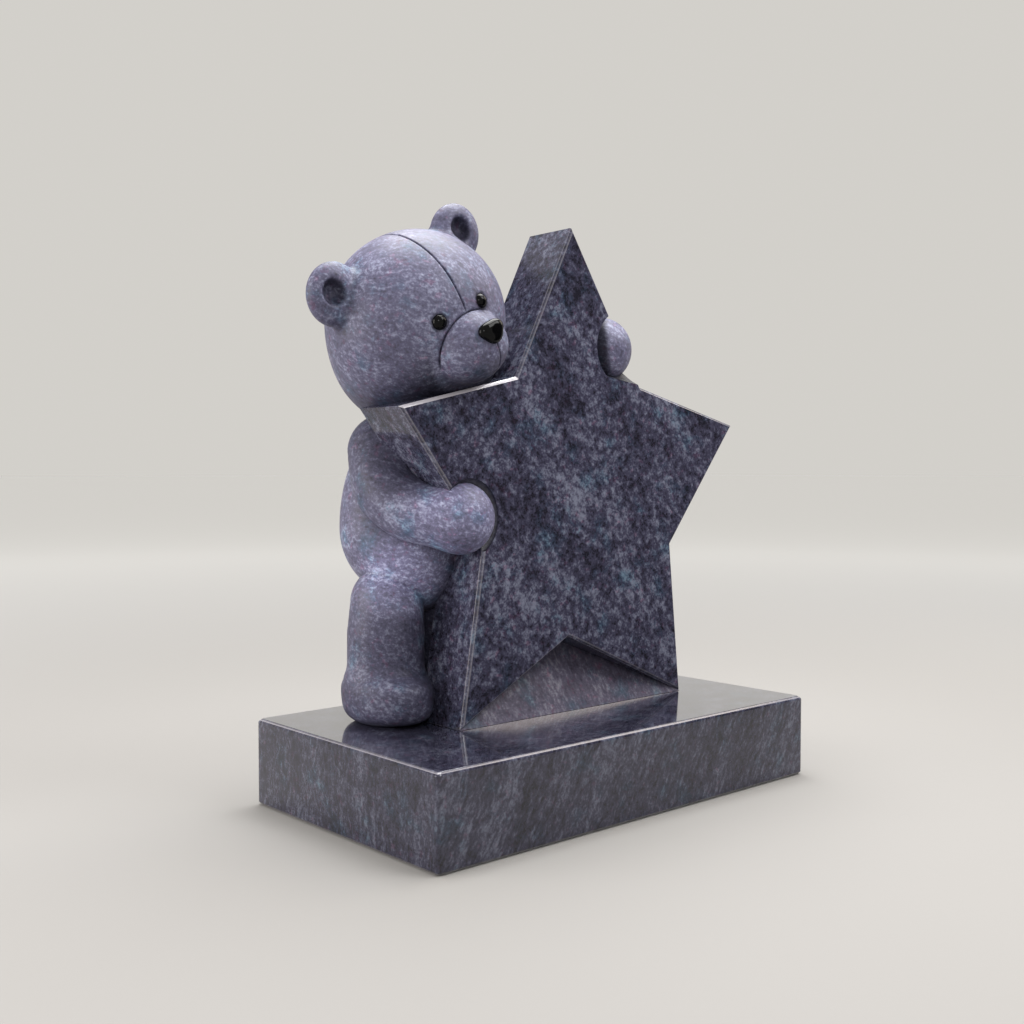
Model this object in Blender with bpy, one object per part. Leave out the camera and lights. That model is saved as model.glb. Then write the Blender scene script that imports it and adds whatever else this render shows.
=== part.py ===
"""Headstone: a teddy bear hugging a five-pointed star, carved from one granite block on a granite plinth.

The frame is in metres, +Z up. The origin is the middle of the plinth's underside, +X runs along the
plinth to the viewer's right, and the front of the stone faces -Y. Places on the star are measured in its
own plane, from the tip of its left foot: across to the right, and up from the plinth.
"""
import math

import bmesh
import bpy
import numpy as np
from mathutils import Matrix, Vector

# plinth slab
PLINTH_LENGTH = 0.610
PLINTH_DEPTH = 0.350
PLINTH_HEIGHT = 0.104
PLINTH_ARRIS = 0.004
BED_JOINT = 0.0003

# star slab
STAR_THICKNESS = 0.080
STAR_ARRIS = 0.0022
STAR_FRONT_SETBACK = 0.131
STAR_LEFT_SETBACK = 0.1375
STAR_HEIGHT = 0.592
STAR_TOP_ACROSS = 0.1755
FOOT_SPREAD = 0.380
CROTCH_ACROSS = 0.172
CROTCH_HEIGHT = 0.092
LEFT_WAIST_ACROSS = 0.034
LEFT_WAIST_HEIGHT = 0.211
LEFT_ARM_REACH = 0.0795
LEFT_ARM_HEIGHT = 0.3675
LEFT_NECK_ACROSS = 0.084
LEFT_NECK_HEIGHT = 0.406
RIGHT_NECK_ACROSS = 0.2995
RIGHT_NECK_HEIGHT = 0.4015
RIGHT_ARM_ACROSS = 0.488
RIGHT_ARM_HEIGHT = 0.3565
RIGHT_WAIST_ACROSS = 0.3595
RIGHT_WAIST_HEIGHT = 0.198

# sloping infill between the star's feet, flush at the foot and deepest at the top
INFILL_LIP = 0.0015
INFILL_DEPTH = 0.062
INFILL_BACK_DEPTH = 0.006

# head
HEAD_RADIUS = 0.110
HEAD_DEPTH_SHARE = 0.90
HEAD_RISE_SHARE = 0.965
HEAD_TILT = math.radians(27.5)
HEAD_NOD = math.radians(7.0)
HEAD_TURN = math.radians(-2.0)
HEAD_BEHIND_FRONT = 0.073
HEAD_SINK = 0.028
JAW_RADIUS = 0.098
JAW_DROP = 0.024
JAW_SHIFT = 0.008
JAW_BACK = 0.016
SEAM_WIDTH = 0.0034
SEAM_SHIFT = 0.0033

# muzzle and nose, placed by shares of the head's radius: to the left, up and ahead
MUZZLE_PLACE = (-0.015, -0.235, 0.70)
MUZZLE_WIDTH = 0.095
MUZZLE_HEIGHT = 0.083
MUZZLE_DEPTH = 0.104
NOSE_PLACE = (0.030, -0.062, 1.135)
NOSE_WIDTH = 0.029
NOSE_HEIGHT = 0.021
NOSE_DEPTH = 0.014
NOSE_CORNERS = 0.10

# eyes, let into the head like the nose
EYE_RADIUS = 0.0088
EYE_STAND = 0.0042
EYE_SPREAD = math.radians(18.2)
EYE_RISE = math.radians(10.5)
INSET_CLEARANCE = 0.0003

# ears
EAR_PLACE = (0.85, 0.665, -0.02)
EAR_RADIUS = 0.0348
EAR_THICKNESS = 0.041
EAR_HOLLOW_RADIUS = 0.0195
EAR_HOLLOW_DEPTH = 0.011

# right arm round the front of the star, left arm behind it; places are across from the body's middle,
# behind the star's back, and up as a share of the body's height
SHOULDER_RADIUS = 0.0458
ARM_RADIUS = 0.037
PAW_RADIUS = 0.038
PAW_HEIGHT_SHARE = 1.08
RIGHT_SHOULDER = (-0.0445, 0.029, 0.678)
RIGHT_ELBOW = (-0.0595, 0.009, 0.597)
RIGHT_FOREARM = (-0.052, -0.016, 0.546)
RIGHT_WRIST_BEHIND_PAW = (-0.026, 0.025, 0.003)
RIGHT_PAW_INSIDE_WAIST = 0.020
RIGHT_PAW_ABOVE_WAIST = 0.030
RIGHT_PAW_BITE = 0.014
LEFT_SHOULDER = (0.047, 0.036, 0.680)
LEFT_WRIST_INSIDE_PAW = 0.014
LEFT_WRIST_BEHIND_STAR = 0.010
LEFT_WRIST_BELOW_PAW = 0.006
LEFT_PAW_CLIMB = 0.062
LEFT_PAW_OUT = 0.001
PAW_SCOOP_MARGIN = 0.009
PAW_SCOOP_AHEAD = 0.004
PAW_SCOOP_DROP = 0.004

# body and legs, with heights as shares of the body's height
BODY_WIDTH = 0.172
BODY_DEPTH = 0.148
BODY_BEHIND_STAR = 0.047
WAIST_UP = 0.485
BELLY_BELOW_WAIST = 0.185
CHEST_ABOVE_WAIST = 0.30
LEG_RADIUS = 0.0455
LEG_SPACING = 0.096
LEG_INSIDE_STAR_FOOT = 0.0285
LEG_BEHIND_STAR = 0.0275
HIP_UP = 0.30
ANKLE_UP = 0.095
HIP_RADIUS_SHARE = 0.95
FOOT_WIDTH = 0.104
FOOT_LENGTH = 0.130
FOOT_HEIGHT = 0.062
TOES_AHEAD = 0.009

# places worked out from the sizes above
STAR_FRONT = -PLINTH_DEPTH / 2 + STAR_FRONT_SETBACK
STAR_BACK = STAR_FRONT + STAR_THICKNESS
STAR_LEFT_FOOT = -PLINTH_LENGTH / 2 + STAR_LEFT_SETBACK
BED_HEIGHT = PLINTH_HEIGHT + BED_JOINT
SAW_ALLOWANCE = 0.010


def star_point(across, up):
    """A point of the star's outline as x and z in the part's frame."""
    return Vector((STAR_LEFT_FOOT + across, BED_HEIGHT + up))


LEFT_FOOT = star_point(0.0, 0.0)
RIGHT_FOOT = star_point(FOOT_SPREAD, 0.0)
CROTCH = star_point(CROTCH_ACROSS, CROTCH_HEIGHT)
RIGHT_WAIST = star_point(RIGHT_WAIST_ACROSS, RIGHT_WAIST_HEIGHT)
RIGHT_ARM = star_point(RIGHT_ARM_ACROSS, RIGHT_ARM_HEIGHT)
RIGHT_NECK = star_point(RIGHT_NECK_ACROSS, RIGHT_NECK_HEIGHT)
STAR_TOP = star_point(STAR_TOP_ACROSS, STAR_HEIGHT)
LEFT_NECK = star_point(LEFT_NECK_ACROSS, LEFT_NECK_HEIGHT)
LEFT_ARM = star_point(-LEFT_ARM_REACH, LEFT_ARM_HEIGHT)
LEFT_WAIST = star_point(LEFT_WAIST_ACROSS, LEFT_WAIST_HEIGHT)


def seat_in_neck(radius, sink):
    """The x and z of a ball that leans on the star's top and sinks a little into its left arm."""
    along_arm = (LEFT_ARM - LEFT_NECK).normalized()
    along_top = (STAR_TOP - LEFT_NECK).normalized()
    off_arm = Vector((along_arm.y, -along_arm.x))
    off_top = Vector((-along_top.y, along_top.x))
    rows = Matrix(((off_arm.x, off_arm.y), (off_top.x, off_top.y)))
    return LEFT_NECK + rows.inverted() @ Vector((radius - sink, radius))


def head_axes():
    """The head's own directions: to its left, up through the crown, and out through the nose."""
    level = Vector((math.cos(HEAD_TURN), -math.sin(HEAD_TURN), 0.0))
    ahead = Vector((-math.sin(HEAD_TURN) * math.cos(HEAD_NOD), -math.cos(HEAD_TURN) * math.cos(HEAD_NOD),
                    -math.sin(HEAD_NOD)))
    crown = ahead.cross(level)
    left = level * math.cos(HEAD_TILT) + crown * math.sin(HEAD_TILT)
    up = crown * math.cos(HEAD_TILT) - level * math.sin(HEAD_TILT)
    return left, up, ahead


HEAD_X, HEAD_Z = seat_in_neck(HEAD_RADIUS, HEAD_SINK)
HEAD = Vector((HEAD_X, STAR_FRONT + HEAD_BEHIND_FRONT, HEAD_Z))
LEFT, UP, AHEAD = head_axes()
HEAD_RADII = (HEAD_RADIUS, HEAD_RADIUS * HEAD_DEPTH_SHARE, HEAD_RADIUS * HEAD_RISE_SHARE)
BODY_HEIGHT = HEAD_Z - BED_HEIGHT
RIGHT_LEG_X = STAR_LEFT_FOOT - LEG_INSIDE_STAR_FOOT
LEG_Y = STAR_BACK + LEG_BEHIND_STAR
BODY_X = RIGHT_LEG_X + LEG_SPACING / 2


def on_head(left, up, ahead):
    """A point in the head's own directions, as shares of the head's radius."""
    return HEAD + (LEFT * left + UP * up + AHEAD * ahead) * HEAD_RADIUS


def body_point(across, behind, up):
    """A point across from the body's middle, behind the star's back, and up as a share of its height."""
    return Vector((BODY_X + across, STAR_BACK + behind, BED_HEIGHT + up * BODY_HEIGHT))


def clear_scene():
    """Remove what is in the scene."""
    for thing in list(bpy.data.objects):
        bpy.data.objects.remove(thing, do_unlink=True)


def stone_material(name, colour, roughness):
    """A plain material with the piece's colour."""
    material = bpy.data.materials.new(name)
    material.use_nodes = True
    shader = material.node_tree.nodes["Principled BSDF"]
    shader.inputs["Base Color"].default_value = (*colour, 1.0)
    shader.inputs["Roughness"].default_value = roughness
    shader.inputs["Metallic"].default_value = 0.0
    material.diffuse_color = (*colour, 1.0)
    return material


def solid(name, points, faces):
    """An object from points and faces, with its faces turned outwards."""
    mesh = bpy.data.meshes.new(name)
    mesh.from_pydata([tuple(p) for p in points], [], faces)
    shape = bmesh.new()
    shape.from_mesh(mesh)
    bmesh.ops.recalc_face_normals(shape, faces=shape.faces)
    shape.to_mesh(mesh)
    shape.free()
    thing = bpy.data.objects.new(name, mesh)
    bpy.context.collection.objects.link(thing)
    return thing


def stand_at(thing, place):
    """Put the object's origin at a place without moving its shape."""
    thing.data.transform(Matrix.Translation(-place))
    thing.location = place


def stack_of_rings(name, rings, first, last):
    """A closed skin over rings of points, with one point before the first ring and one after the last."""
    sides = len(rings[0])
    points = [first] + [p for ring in rings for p in ring] + [last]
    faces = []
    for j in range(sides):
        k = (j + 1) % sides
        faces.append((0, 1 + j, 1 + k))
        for i in range(len(rings) - 1):
            low = 1 + i * sides
            high = low + sides
            faces.append((low + j, high + j, high + k, low + k))
        end = 1 + (len(rings) - 1) * sides
        faces.append((end + j, len(points) - 1, end + k))
    return solid(name, points, faces)


def ball(name, centre, radii, axes=None, sides=24, rows=14, top_radius=None):
    """An ellipsoid: a circle of latitude for each row. The upper half may have its own height."""
    side, back, up = axes or (Vector((1, 0, 0)), Vector((0, 1, 0)), Vector((0, 0, 1)))
    wide, deep, tall = radii
    rings = []
    for i in range(1, rows):
        latitude = -math.pi / 2 + math.pi * i / rows
        height = math.sin(latitude) * (top_radius if top_radius and latitude > 0 else tall)
        ring = []
        for j in range(sides):
            turn = 2 * math.pi * (j + 0.5) / sides
            out = math.cos(latitude)
            ring.append(centre + side * (wide * out * math.cos(turn)) + back * (deep * out * math.sin(turn))
                        + up * height)
        rings.append(ring)
    return stack_of_rings(name, rings, centre - up * tall, centre + up * (top_radius or tall))


def smooth_route(points, steps):
    """Points on a Catmull-Rom curve through the given ones, with their radii carried as a fourth value."""
    values = np.array(points, dtype=float)
    values = np.vstack([2 * values[0] - values[1], values, 2 * values[-1] - values[-2]])
    route = []
    for i in range(1, len(values) - 2):
        a, b, c, d = values[i - 1:i + 3]
        for t in np.arange(steps) / steps:
            route.append(0.5 * (2 * b + (c - a) * t + (2 * a - 5 * b + 4 * c - d) * t ** 2
                                + (3 * b - a - 3 * c + d) * t ** 3))
    route.append(values[-2])
    return np.array(route)


def limb(name, stations, sides=16, steps=5, cap_rows=4):
    """A round limb: a circle of changing radius carried along a smooth route, with a half ball on each end."""
    route = smooth_route([(*place, radius) for place, radius in stations], steps)
    path = [Vector(p[:3]) for p in route]
    radii = [float(p[3]) for p in route]
    end = len(path) - 1
    tangents = [(path[min(i + 1, end)] - path[max(i - 1, 0)]).normalized() for i in range(len(path))]
    across = tangents[0].orthogonal().normalized()
    circles = []
    for place, tangent, radius in zip(path, tangents, radii):
        across = (across - tangent * across.dot(tangent)).normalized()
        circles.append((place, tangent, across, radius))
    start = [math.pi / 2 * k / cap_rows for k in range(1, cap_rows)]
    rows = []
    place, tangent, side, radius = circles[0]
    for angle in start:
        rows.append((place - tangent * radius * math.cos(angle), tangent, side, radius * math.sin(angle)))
    rows += circles
    place, tangent, side, radius = circles[-1]
    for angle in reversed(start):
        rows.append((place + tangent * radius * math.cos(angle), tangent, side, radius * math.sin(angle)))
    rings = []
    for place, tangent, side, radius in rows:
        other = tangent.cross(side)
        turns = [2 * math.pi * j / sides for j in range(sides)]
        rings.append([place + (side * math.cos(a) + other * math.sin(a)) * radius for a in turns])
    first = circles[0][0] - circles[0][1] * circles[0][3]
    last = circles[-1][0] + circles[-1][1] * circles[-1][3]
    return stack_of_rings(name, rings, first, last)


def prism(name, outline, front, back):
    """A slab: an outline of x and z, carried straight from front to back. Each end may lean, point by point."""
    count = len(outline)
    fronts = front if isinstance(front, list) else [front] * count
    points = [(p.x, y, p.y) for p, y in zip(outline, fronts)]
    backs = back if isinstance(back, list) else [back] * count
    points += [(p.x, y, p.y) for p, y in zip(outline, backs)]
    faces = [tuple(range(count)), tuple(range(2 * count - 1, count - 1, -1))]
    for i in range(count):
        k = (i + 1) % count
        faces.append((i, i + count, k + count, k))
    return solid(name, points, faces)


def chamfer(thing, width, chosen):
    """Take off the chosen edges by a small flat."""
    shape = bmesh.new()
    shape.from_mesh(thing.data)
    edges = [edge for edge in shape.edges if chosen(edge)]
    bmesh.ops.bevel(shape, geom=edges, offset=width, segments=1, profile=0.5, affect="EDGES")
    shape.to_mesh(thing.data)
    shape.free()


def combine(base, tools, operation):
    """Join the tools to the base, or cut them from it, and remove them."""
    for tool in tools:
        step = base.modifiers.new(operation.title(), "BOOLEAN")
        step.operation = operation
        step.solver = "EXACT"
        step.object = tool
        graph = bpy.context.evaluated_depsgraph_get()
        result = bpy.data.meshes.new_from_object(base.evaluated_get(graph))
        base.modifiers.remove(step)
        base.data = result
        bpy.data.objects.remove(tool, do_unlink=True)
    return base


def saw_flat(thing, height):
    """Cut off what lies below a height and close the cut."""
    shape = bmesh.new()
    shape.from_mesh(thing.data)
    everything = list(shape.verts) + list(shape.edges) + list(shape.faces)
    cut = bmesh.ops.bisect_plane(shape, geom=everything, dist=1e-6, plane_co=(0, 0, height),
                                 plane_no=(0, 0, 1), clear_inner=True)
    rim = [item for item in cut["geom_cut"] if isinstance(item, bmesh.types.BMEdge)]
    bmesh.ops.triangle_fill(shape, edges=rim, use_beauty=True)
    bmesh.ops.recalc_face_normals(shape, faces=shape.faces)
    shape.to_mesh(thing.data)
    shape.free()


def make_plinth():
    """The slab, with all its edges eased."""
    half_length = PLINTH_LENGTH / 2
    half_depth = PLINTH_DEPTH / 2
    outline = [Vector((-half_length, 0.0)), Vector((half_length, 0.0)),
               Vector((half_length, PLINTH_HEIGHT)), Vector((-half_length, PLINTH_HEIGHT))]
    slab = prism("plinth", outline, -half_depth, half_depth)
    chamfer(slab, PLINTH_ARRIS, lambda edge: True)
    slab.data.materials.append(stone_material("polished blue granite", (0.075, 0.072, 0.105), 0.16))


def make_star():
    """The star slab with its sloping infill, still a little too deep at the foot."""
    below = Vector((0.0, SAW_ALLOWANCE))
    outline = [LEFT_FOOT - below, RIGHT_FOOT - below, RIGHT_FOOT, RIGHT_WAIST, RIGHT_ARM, RIGHT_NECK,
               STAR_TOP, LEFT_NECK, LEFT_ARM, LEFT_WAIST, LEFT_FOOT]
    star = prism("star", outline, STAR_FRONT, STAR_BACK)
    face_edges = lambda edge: abs(edge.verts[0].co.y - edge.verts[1].co.y) < 1e-6
    chamfer(star, STAR_ARRIS, lambda edge: face_edges(edge) and max(v.co.z for v in edge.verts) > BED_HEIGHT)
    reach = SAW_ALLOWANCE / CROTCH_HEIGHT
    triangle = [CROTCH, LEFT_FOOT + (LEFT_FOOT - CROTCH) * reach, RIGHT_FOOT + (RIGHT_FOOT - CROTCH) * reach]
    slope = (INFILL_DEPTH - INFILL_LIP) / CROTCH_HEIGHT
    floor = STAR_FRONT + INFILL_LIP - slope * SAW_ALLOWANCE
    front_recess = prism("front recess", triangle, STAR_FRONT - 2 * SAW_ALLOWANCE,
                         [STAR_FRONT + INFILL_DEPTH, floor, floor])
    back_recess = prism("back recess", triangle, STAR_BACK - INFILL_BACK_DEPTH, STAR_BACK + SAW_ALLOWANCE)
    return combine(star, [front_recess, back_recess], "DIFFERENCE")


def left_paw_centre():
    """The left paw clasps the star's upper right edge, a little way up from the notch."""
    edge = RIGHT_NECK + (STAR_TOP - RIGHT_NECK).normalized() * LEFT_PAW_CLIMB
    return Vector((edge.x + LEFT_PAW_OUT, (STAR_FRONT + STAR_BACK) / 2, edge.y))


def right_paw_centre():
    """The right paw comes round the star's left waist on to its front face."""
    return Vector((LEFT_WAIST.x - RIGHT_PAW_INSIDE_WAIST, STAR_FRONT + RIGHT_PAW_BITE,
                   LEFT_WAIST.y + RIGHT_PAW_ABOVE_WAIST))


def paw(name, centre):
    """A rounded paw, a little taller than it is wide."""
    return ball(name, centre, (PAW_RADIUS, PAW_RADIUS, PAW_HEIGHT_SHARE * PAW_RADIUS), sides=20, rows=12)


def make_body():
    """Body, legs, feet and arms, as overlapping solids. A limb's radius changes a little along its length."""
    belly = ball("belly", body_point(0.0, BODY_BEHIND_STAR, WAIST_UP),
                 (BODY_WIDTH / 2, BODY_DEPTH / 2, BELLY_BELOW_WAIST * BODY_HEIGHT),
                 sides=28, rows=16, top_radius=CHEST_ABOVE_WAIST * BODY_HEIGHT)
    pieces = [belly]
    for side, across in (("right", -LEG_SPACING / 2), ("left", LEG_SPACING / 2)):
        foot_at = Vector((BODY_X + across, LEG_Y, BED_HEIGHT))
        hip = foot_at + Vector((0.0, 0.0, HIP_UP * BODY_HEIGHT))
        ankle = foot_at + Vector((0.0, 0.0, ANKLE_UP * BODY_HEIGHT))
        pieces.append(limb(side + " leg", [(ankle, LEG_RADIUS), (hip, HIP_RADIUS_SHARE * LEG_RADIUS)],
                           sides=22, steps=4))
        toes = foot_at + Vector((0.0, -TOES_AHEAD, FOOT_HEIGHT / 2))
        foot_radii = (FOOT_WIDTH / 2, FOOT_LENGTH / 2, FOOT_HEIGHT / 2 + BED_JOINT)
        pieces.append(ball(side + " foot", toes, foot_radii, sides=24, rows=12))
    paw_at = right_paw_centre()
    pieces.append(limb("right arm", [(body_point(*RIGHT_SHOULDER), SHOULDER_RADIUS),
                                     (body_point(*RIGHT_ELBOW), 1.05 * ARM_RADIUS),
                                     (body_point(*RIGHT_FOREARM), ARM_RADIUS),
                                     (paw_at + Vector(RIGHT_WRIST_BEHIND_PAW), 0.93 * ARM_RADIUS),
                                     (paw_at, 0.90 * ARM_RADIUS)], sides=20, steps=4))
    pieces.append(paw("right paw", paw_at))
    paw_at = left_paw_centre()
    shoulder = body_point(*LEFT_SHOULDER)
    middle = shoulder.lerp(Vector((paw_at.x, shoulder.y, paw_at.z)), 0.5)
    wrist = Vector((paw_at.x - LEFT_WRIST_INSIDE_PAW, STAR_BACK + LEFT_WRIST_BEHIND_STAR,
                    paw_at.z - LEFT_WRIST_BELOW_PAW))
    pieces.append(limb("left arm", [(shoulder, SHOULDER_RADIUS), (middle, 0.93 * ARM_RADIUS),
                                    (wrist, 0.88 * ARM_RADIUS), (paw_at, 0.90 * ARM_RADIUS)],
                       sides=16, steps=4))
    pieces.append(paw("left paw", paw_at))
    return pieces


def make_head():
    """Head, jaw, muzzle and ears, as overlapping solids."""
    axes = (LEFT, -AHEAD, UP)
    skull = ball("skull", HEAD, HEAD_RADII, axes, sides=32, rows=20)
    jaw_at = HEAD + Vector((JAW_SHIFT, JAW_BACK, -JAW_DROP))
    jaw = ball("jaw", jaw_at, (JAW_RADIUS,) * 3, axes, sides=28, rows=18)
    muzzle = ball("muzzle", on_head(*MUZZLE_PLACE), (MUZZLE_WIDTH / 2, MUZZLE_DEPTH / 2, MUZZLE_HEIGHT / 2),
                  axes, sides=24, rows=14)
    pieces = [skull, jaw, muzzle]
    aside, rise, ahead = EAR_PLACE
    for side in (-1, 1):
        ear_at = on_head(side * aside, rise, ahead)
        ear = ball("ear", ear_at, (EAR_RADIUS, EAR_THICKNESS / 2, EAR_RADIUS), axes, sides=20, rows=12)
        hollow_at = ear_at + AHEAD * (EAR_THICKNESS / 2)
        hollow = ball("hollow", hollow_at, (EAR_HOLLOW_RADIUS, EAR_HOLLOW_DEPTH, EAR_HOLLOW_RADIUS), axes,
                      sides=16, rows=8)
        pieces.append(combine(ear, [hollow], "DIFFERENCE"))
    return pieces


def eye_centre(side):
    """The middle of the right or left eye, sunk in the head so that it stands out by the named amount."""
    sideways = math.sin(EYE_SPREAD) * math.cos(EYE_RISE) * side
    ahead = math.cos(EYE_SPREAD) * math.cos(EYE_RISE)
    rise = math.sin(EYE_RISE)
    sunk = EYE_RADIUS - EYE_STAND
    wide, deep, tall = (radius - sunk for radius in HEAD_RADII)
    return HEAD + LEFT * (wide * sideways) + UP * (tall * rise) + AHEAD * (deep * ahead)


def eye(name, side, clearance):
    """One eye, a ball. A clearance makes the socket that it sits in."""
    return ball(name, eye_centre(side), (EYE_RADIUS + clearance,) * 3, (LEFT, -AHEAD, UP), sides=16, rows=10)


def nose(name, clearance):
    """A rounded triangle with a domed front, wide at the top. A clearance makes the seat that it sits in."""
    centre = on_head(*NOSE_PLACE)
    thick = NOSE_DEPTH / 2 + clearance
    rings = []
    rows = 8
    sides = 18
    for i in range(1, rows):
        lift = math.pi * i / rows
        ring = []
        for j in range(sides):
            turn = 2 * math.pi * j / sides
            spread = math.sin(lift) ** 0.7 * (1 + NOSE_CORNERS * math.sin(3 * turn))
            wide = (NOSE_WIDTH / 2 + clearance) * spread * math.cos(turn)
            tall = (NOSE_HEIGHT / 2 + clearance) * spread * math.sin(turn)
            ring.append(centre + LEFT * wide + UP * tall - AHEAD * (thick * math.cos(lift)))
        rings.append(ring)
    return stack_of_rings(name, rings, centre - AHEAD * thick, centre + AHEAD * thick)


def head_seam():
    """The seam groove over the head, from the top of the muzzle over the crown to the nape."""
    stations = []
    middle = HEAD + LEFT * SEAM_SHIFT
    for degrees in range(14, 200, 15):
        angle = math.radians(degrees)
        place = middle + AHEAD * (HEAD_RADII[1] * math.cos(angle)) + UP * (HEAD_RADII[2] * math.sin(angle))
        stations.append((place, SEAM_WIDTH / 2))
    return limb("seam", stations, sides=6, steps=3, cap_rows=2)


def paw_scoop():
    """The hollow worked in the star's front and notch round the left paw, tangent to the arm's top face."""
    radius = PAW_RADIUS + PAW_SCOOP_MARGIN
    paw_at = left_paw_centre()
    start = Vector((paw_at.x - LEFT_PAW_OUT, STAR_FRONT - PAW_SCOOP_AHEAD, paw_at.z - PAW_SCOOP_DROP))
    along = (RIGHT_ARM - RIGHT_NECK).normalized() * 1.5 * radius
    finish = start + Vector((along.x, 0.0, along.y))
    return limb("scoop", [(start, radius), (finish, radius)], sides=28, steps=4, cap_rows=6)


def make_block():
    """The one carved block, with the seats of the eyes and the nose cut in it."""
    scoop = paw_scoop()
    block = combine(make_star(), [scoop], "DIFFERENCE")
    block.name = "bear_and_star"
    block.data.name = "bear_and_star"
    combine(block, make_body() + make_head(), "UNION")
    cuts = [head_seam(), eye("socket", -1, INSET_CLEARANCE), eye("socket", 1, INSET_CLEARANCE),
            nose("nose seat", INSET_CLEARANCE)]
    combine(block, cuts, "DIFFERENCE")
    saw_flat(block, BED_HEIGHT)
    block.data.materials.clear()
    block.data.materials.append(stone_material("carved blue granite", (0.125, 0.120, 0.160), 0.30))
    stand_at(block, Vector((0.0, 0.0, BED_HEIGHT)))


def make_insets():
    """The eyes and the nose."""
    black = stone_material("polished black stone", (0.006, 0.006, 0.007), 0.05)
    pieces = ((eye("eye_right", -1, 0.0), eye_centre(-1)),
              (eye("eye_left", 1, 0.0), eye_centre(1)),
              (nose("nose", 0.0), on_head(*NOSE_PLACE)))
    for piece, place in pieces:
        piece.data.materials.append(black)
        piece.data.shade_smooth()
        stand_at(piece, place)


clear_scene()
make_plinth()
make_block()
make_insets()
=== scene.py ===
"""Looks of the teddy bear headstone: the carved granite block, its plinth, the eyes, the nose and the stage.

The file is laid out as a Blender add-on and is run as a script. Lengths are in metres. The origin is the
middle of the plinth's underside. +X runs along the plinth to the viewer's right, and the star's front faces
-Y.
"""

import math

import bmesh
import bpy
import numpy as np
from bpy.props import FloatProperty, FloatVectorProperty, PointerProperty
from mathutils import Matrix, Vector


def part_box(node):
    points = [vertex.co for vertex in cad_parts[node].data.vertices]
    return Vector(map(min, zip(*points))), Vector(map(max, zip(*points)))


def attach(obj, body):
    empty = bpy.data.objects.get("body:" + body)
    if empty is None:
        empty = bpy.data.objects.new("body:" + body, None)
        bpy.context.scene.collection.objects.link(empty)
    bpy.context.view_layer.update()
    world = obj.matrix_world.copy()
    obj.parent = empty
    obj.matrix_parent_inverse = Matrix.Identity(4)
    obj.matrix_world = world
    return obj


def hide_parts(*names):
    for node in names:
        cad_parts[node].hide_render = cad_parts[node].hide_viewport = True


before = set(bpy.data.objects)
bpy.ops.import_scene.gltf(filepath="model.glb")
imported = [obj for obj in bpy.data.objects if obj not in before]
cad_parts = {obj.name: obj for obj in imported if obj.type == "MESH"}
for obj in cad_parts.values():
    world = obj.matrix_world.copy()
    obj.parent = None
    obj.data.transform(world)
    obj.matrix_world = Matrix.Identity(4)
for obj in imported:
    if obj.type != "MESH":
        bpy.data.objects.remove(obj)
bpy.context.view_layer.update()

bl_info = {
    "name": "Teddy Bear Headstone",
    "version": (1, 0, 0),
    "blender": (4, 5, 0),
    "location": "View3D > Sidebar > Headstone",
    "description": "Makes a granite headstone of a teddy bear that hugs a star, on a plinth",
    "category": "Object",
}

PLINTH_LOW, PLINTH_HIGH = (np.array(corner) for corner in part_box("plinth"))
BED_HEIGHT = float(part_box("bear_and_star")[0].z)

# the star's outline in its own plane, from the tip of its left foot: across and up
STAR_FRONT = -0.044
STAR_BACK = 0.036
LEFT_FOOT_X = -0.1675
STAR_OUTLINE = {
    "left foot": (0.0, 0.0),
    "crotch": (0.172, 0.092),
    "right foot": (0.380, 0.0),
    "right waist": (0.3595, 0.198),
    "right arm": (0.488, 0.3583),
    "right neck": (0.2995, 0.4030),
    "top": (0.1755, 0.592),
    "left neck": (0.084, 0.406),
    "left arm": (-0.0850, 0.3662),
    "left waist": (0.034, 0.211),
}

# the bear's pose: across from the body's middle, behind the star's back, up as a share of the body's height
HEAD_SINK = 0.028
RIGHT_SHOULDER = (-0.0445, 0.029, 0.678)
RIGHT_ELBOW = (-0.0595, 0.009, 0.597)
RIGHT_FOREARM = (-0.052, -0.016, 0.546)
RIGHT_WRIST_BEHIND_PAW = (-0.026, 0.025, 0.003)
LEFT_SHOULDER = (0.047, 0.036, 0.680)
LEFT_PAW_CLIMB = 0.062
MUZZLE_PLACE = (-0.015, -0.235, 0.70)
NOSE_PLACE = (0.030, -0.062, 1.135)
EAR_PLACE = (0.85, 0.665, -0.02)

# the head: its nod and turn in degrees, and its forms
HEAD_NOD = 7.0
HEAD_TURN = -2.0
HEAD_BEHIND_STAR_FRONT = 0.073
HEAD_SHAPE = (1.0, 0.90, 0.965)
JAW_PLACE = (0.0090, 0.016, -0.0235)
JAW_RADII = (0.100, 0.100, 0.100)
MUZZLE_RADII = (0.0475, 0.052, 0.0415)
MUZZLE_TOP = 0.0455
EYE_SPREAD = 16.95
EYE_SPREAD_CHANGE = 2.55
EYE_RISE = 10.1
EYE_RISE_CHANGE = 0.15
EYE_STANDS_OUT = 0.0042
EAR_DEPTH = 0.0185
EAR_HOLLOW_RADII = (0.0120, 0.0150, 0.0142)
NOSE_DEPTH = 0.0075
NOSE_HALF_HEIGHT = 0.0130
NOSE_LEAN = 14.0

# the body and limbs, with heights as shares of the body's height
LEG_BESIDE_STAR = 0.0285
LEG_ASIDE = 0.048
TORSO_PLACE = (0.0, 0.047, 0.485)
TORSO_RADII = (0.086, 0.074)
TORSO_FALL = 0.185
TORSO_RISE = 0.30
BELLY_PLACE = (-0.002, 0.024, 0.42)
BELLY_RADII = (0.068, 0.052, 0.070)
SHOULDER_RADIUS = 0.0458
ARM_RADIUS = 0.037
FOOT_RADII = (0.0462, 0.064, 0.0288)

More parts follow.
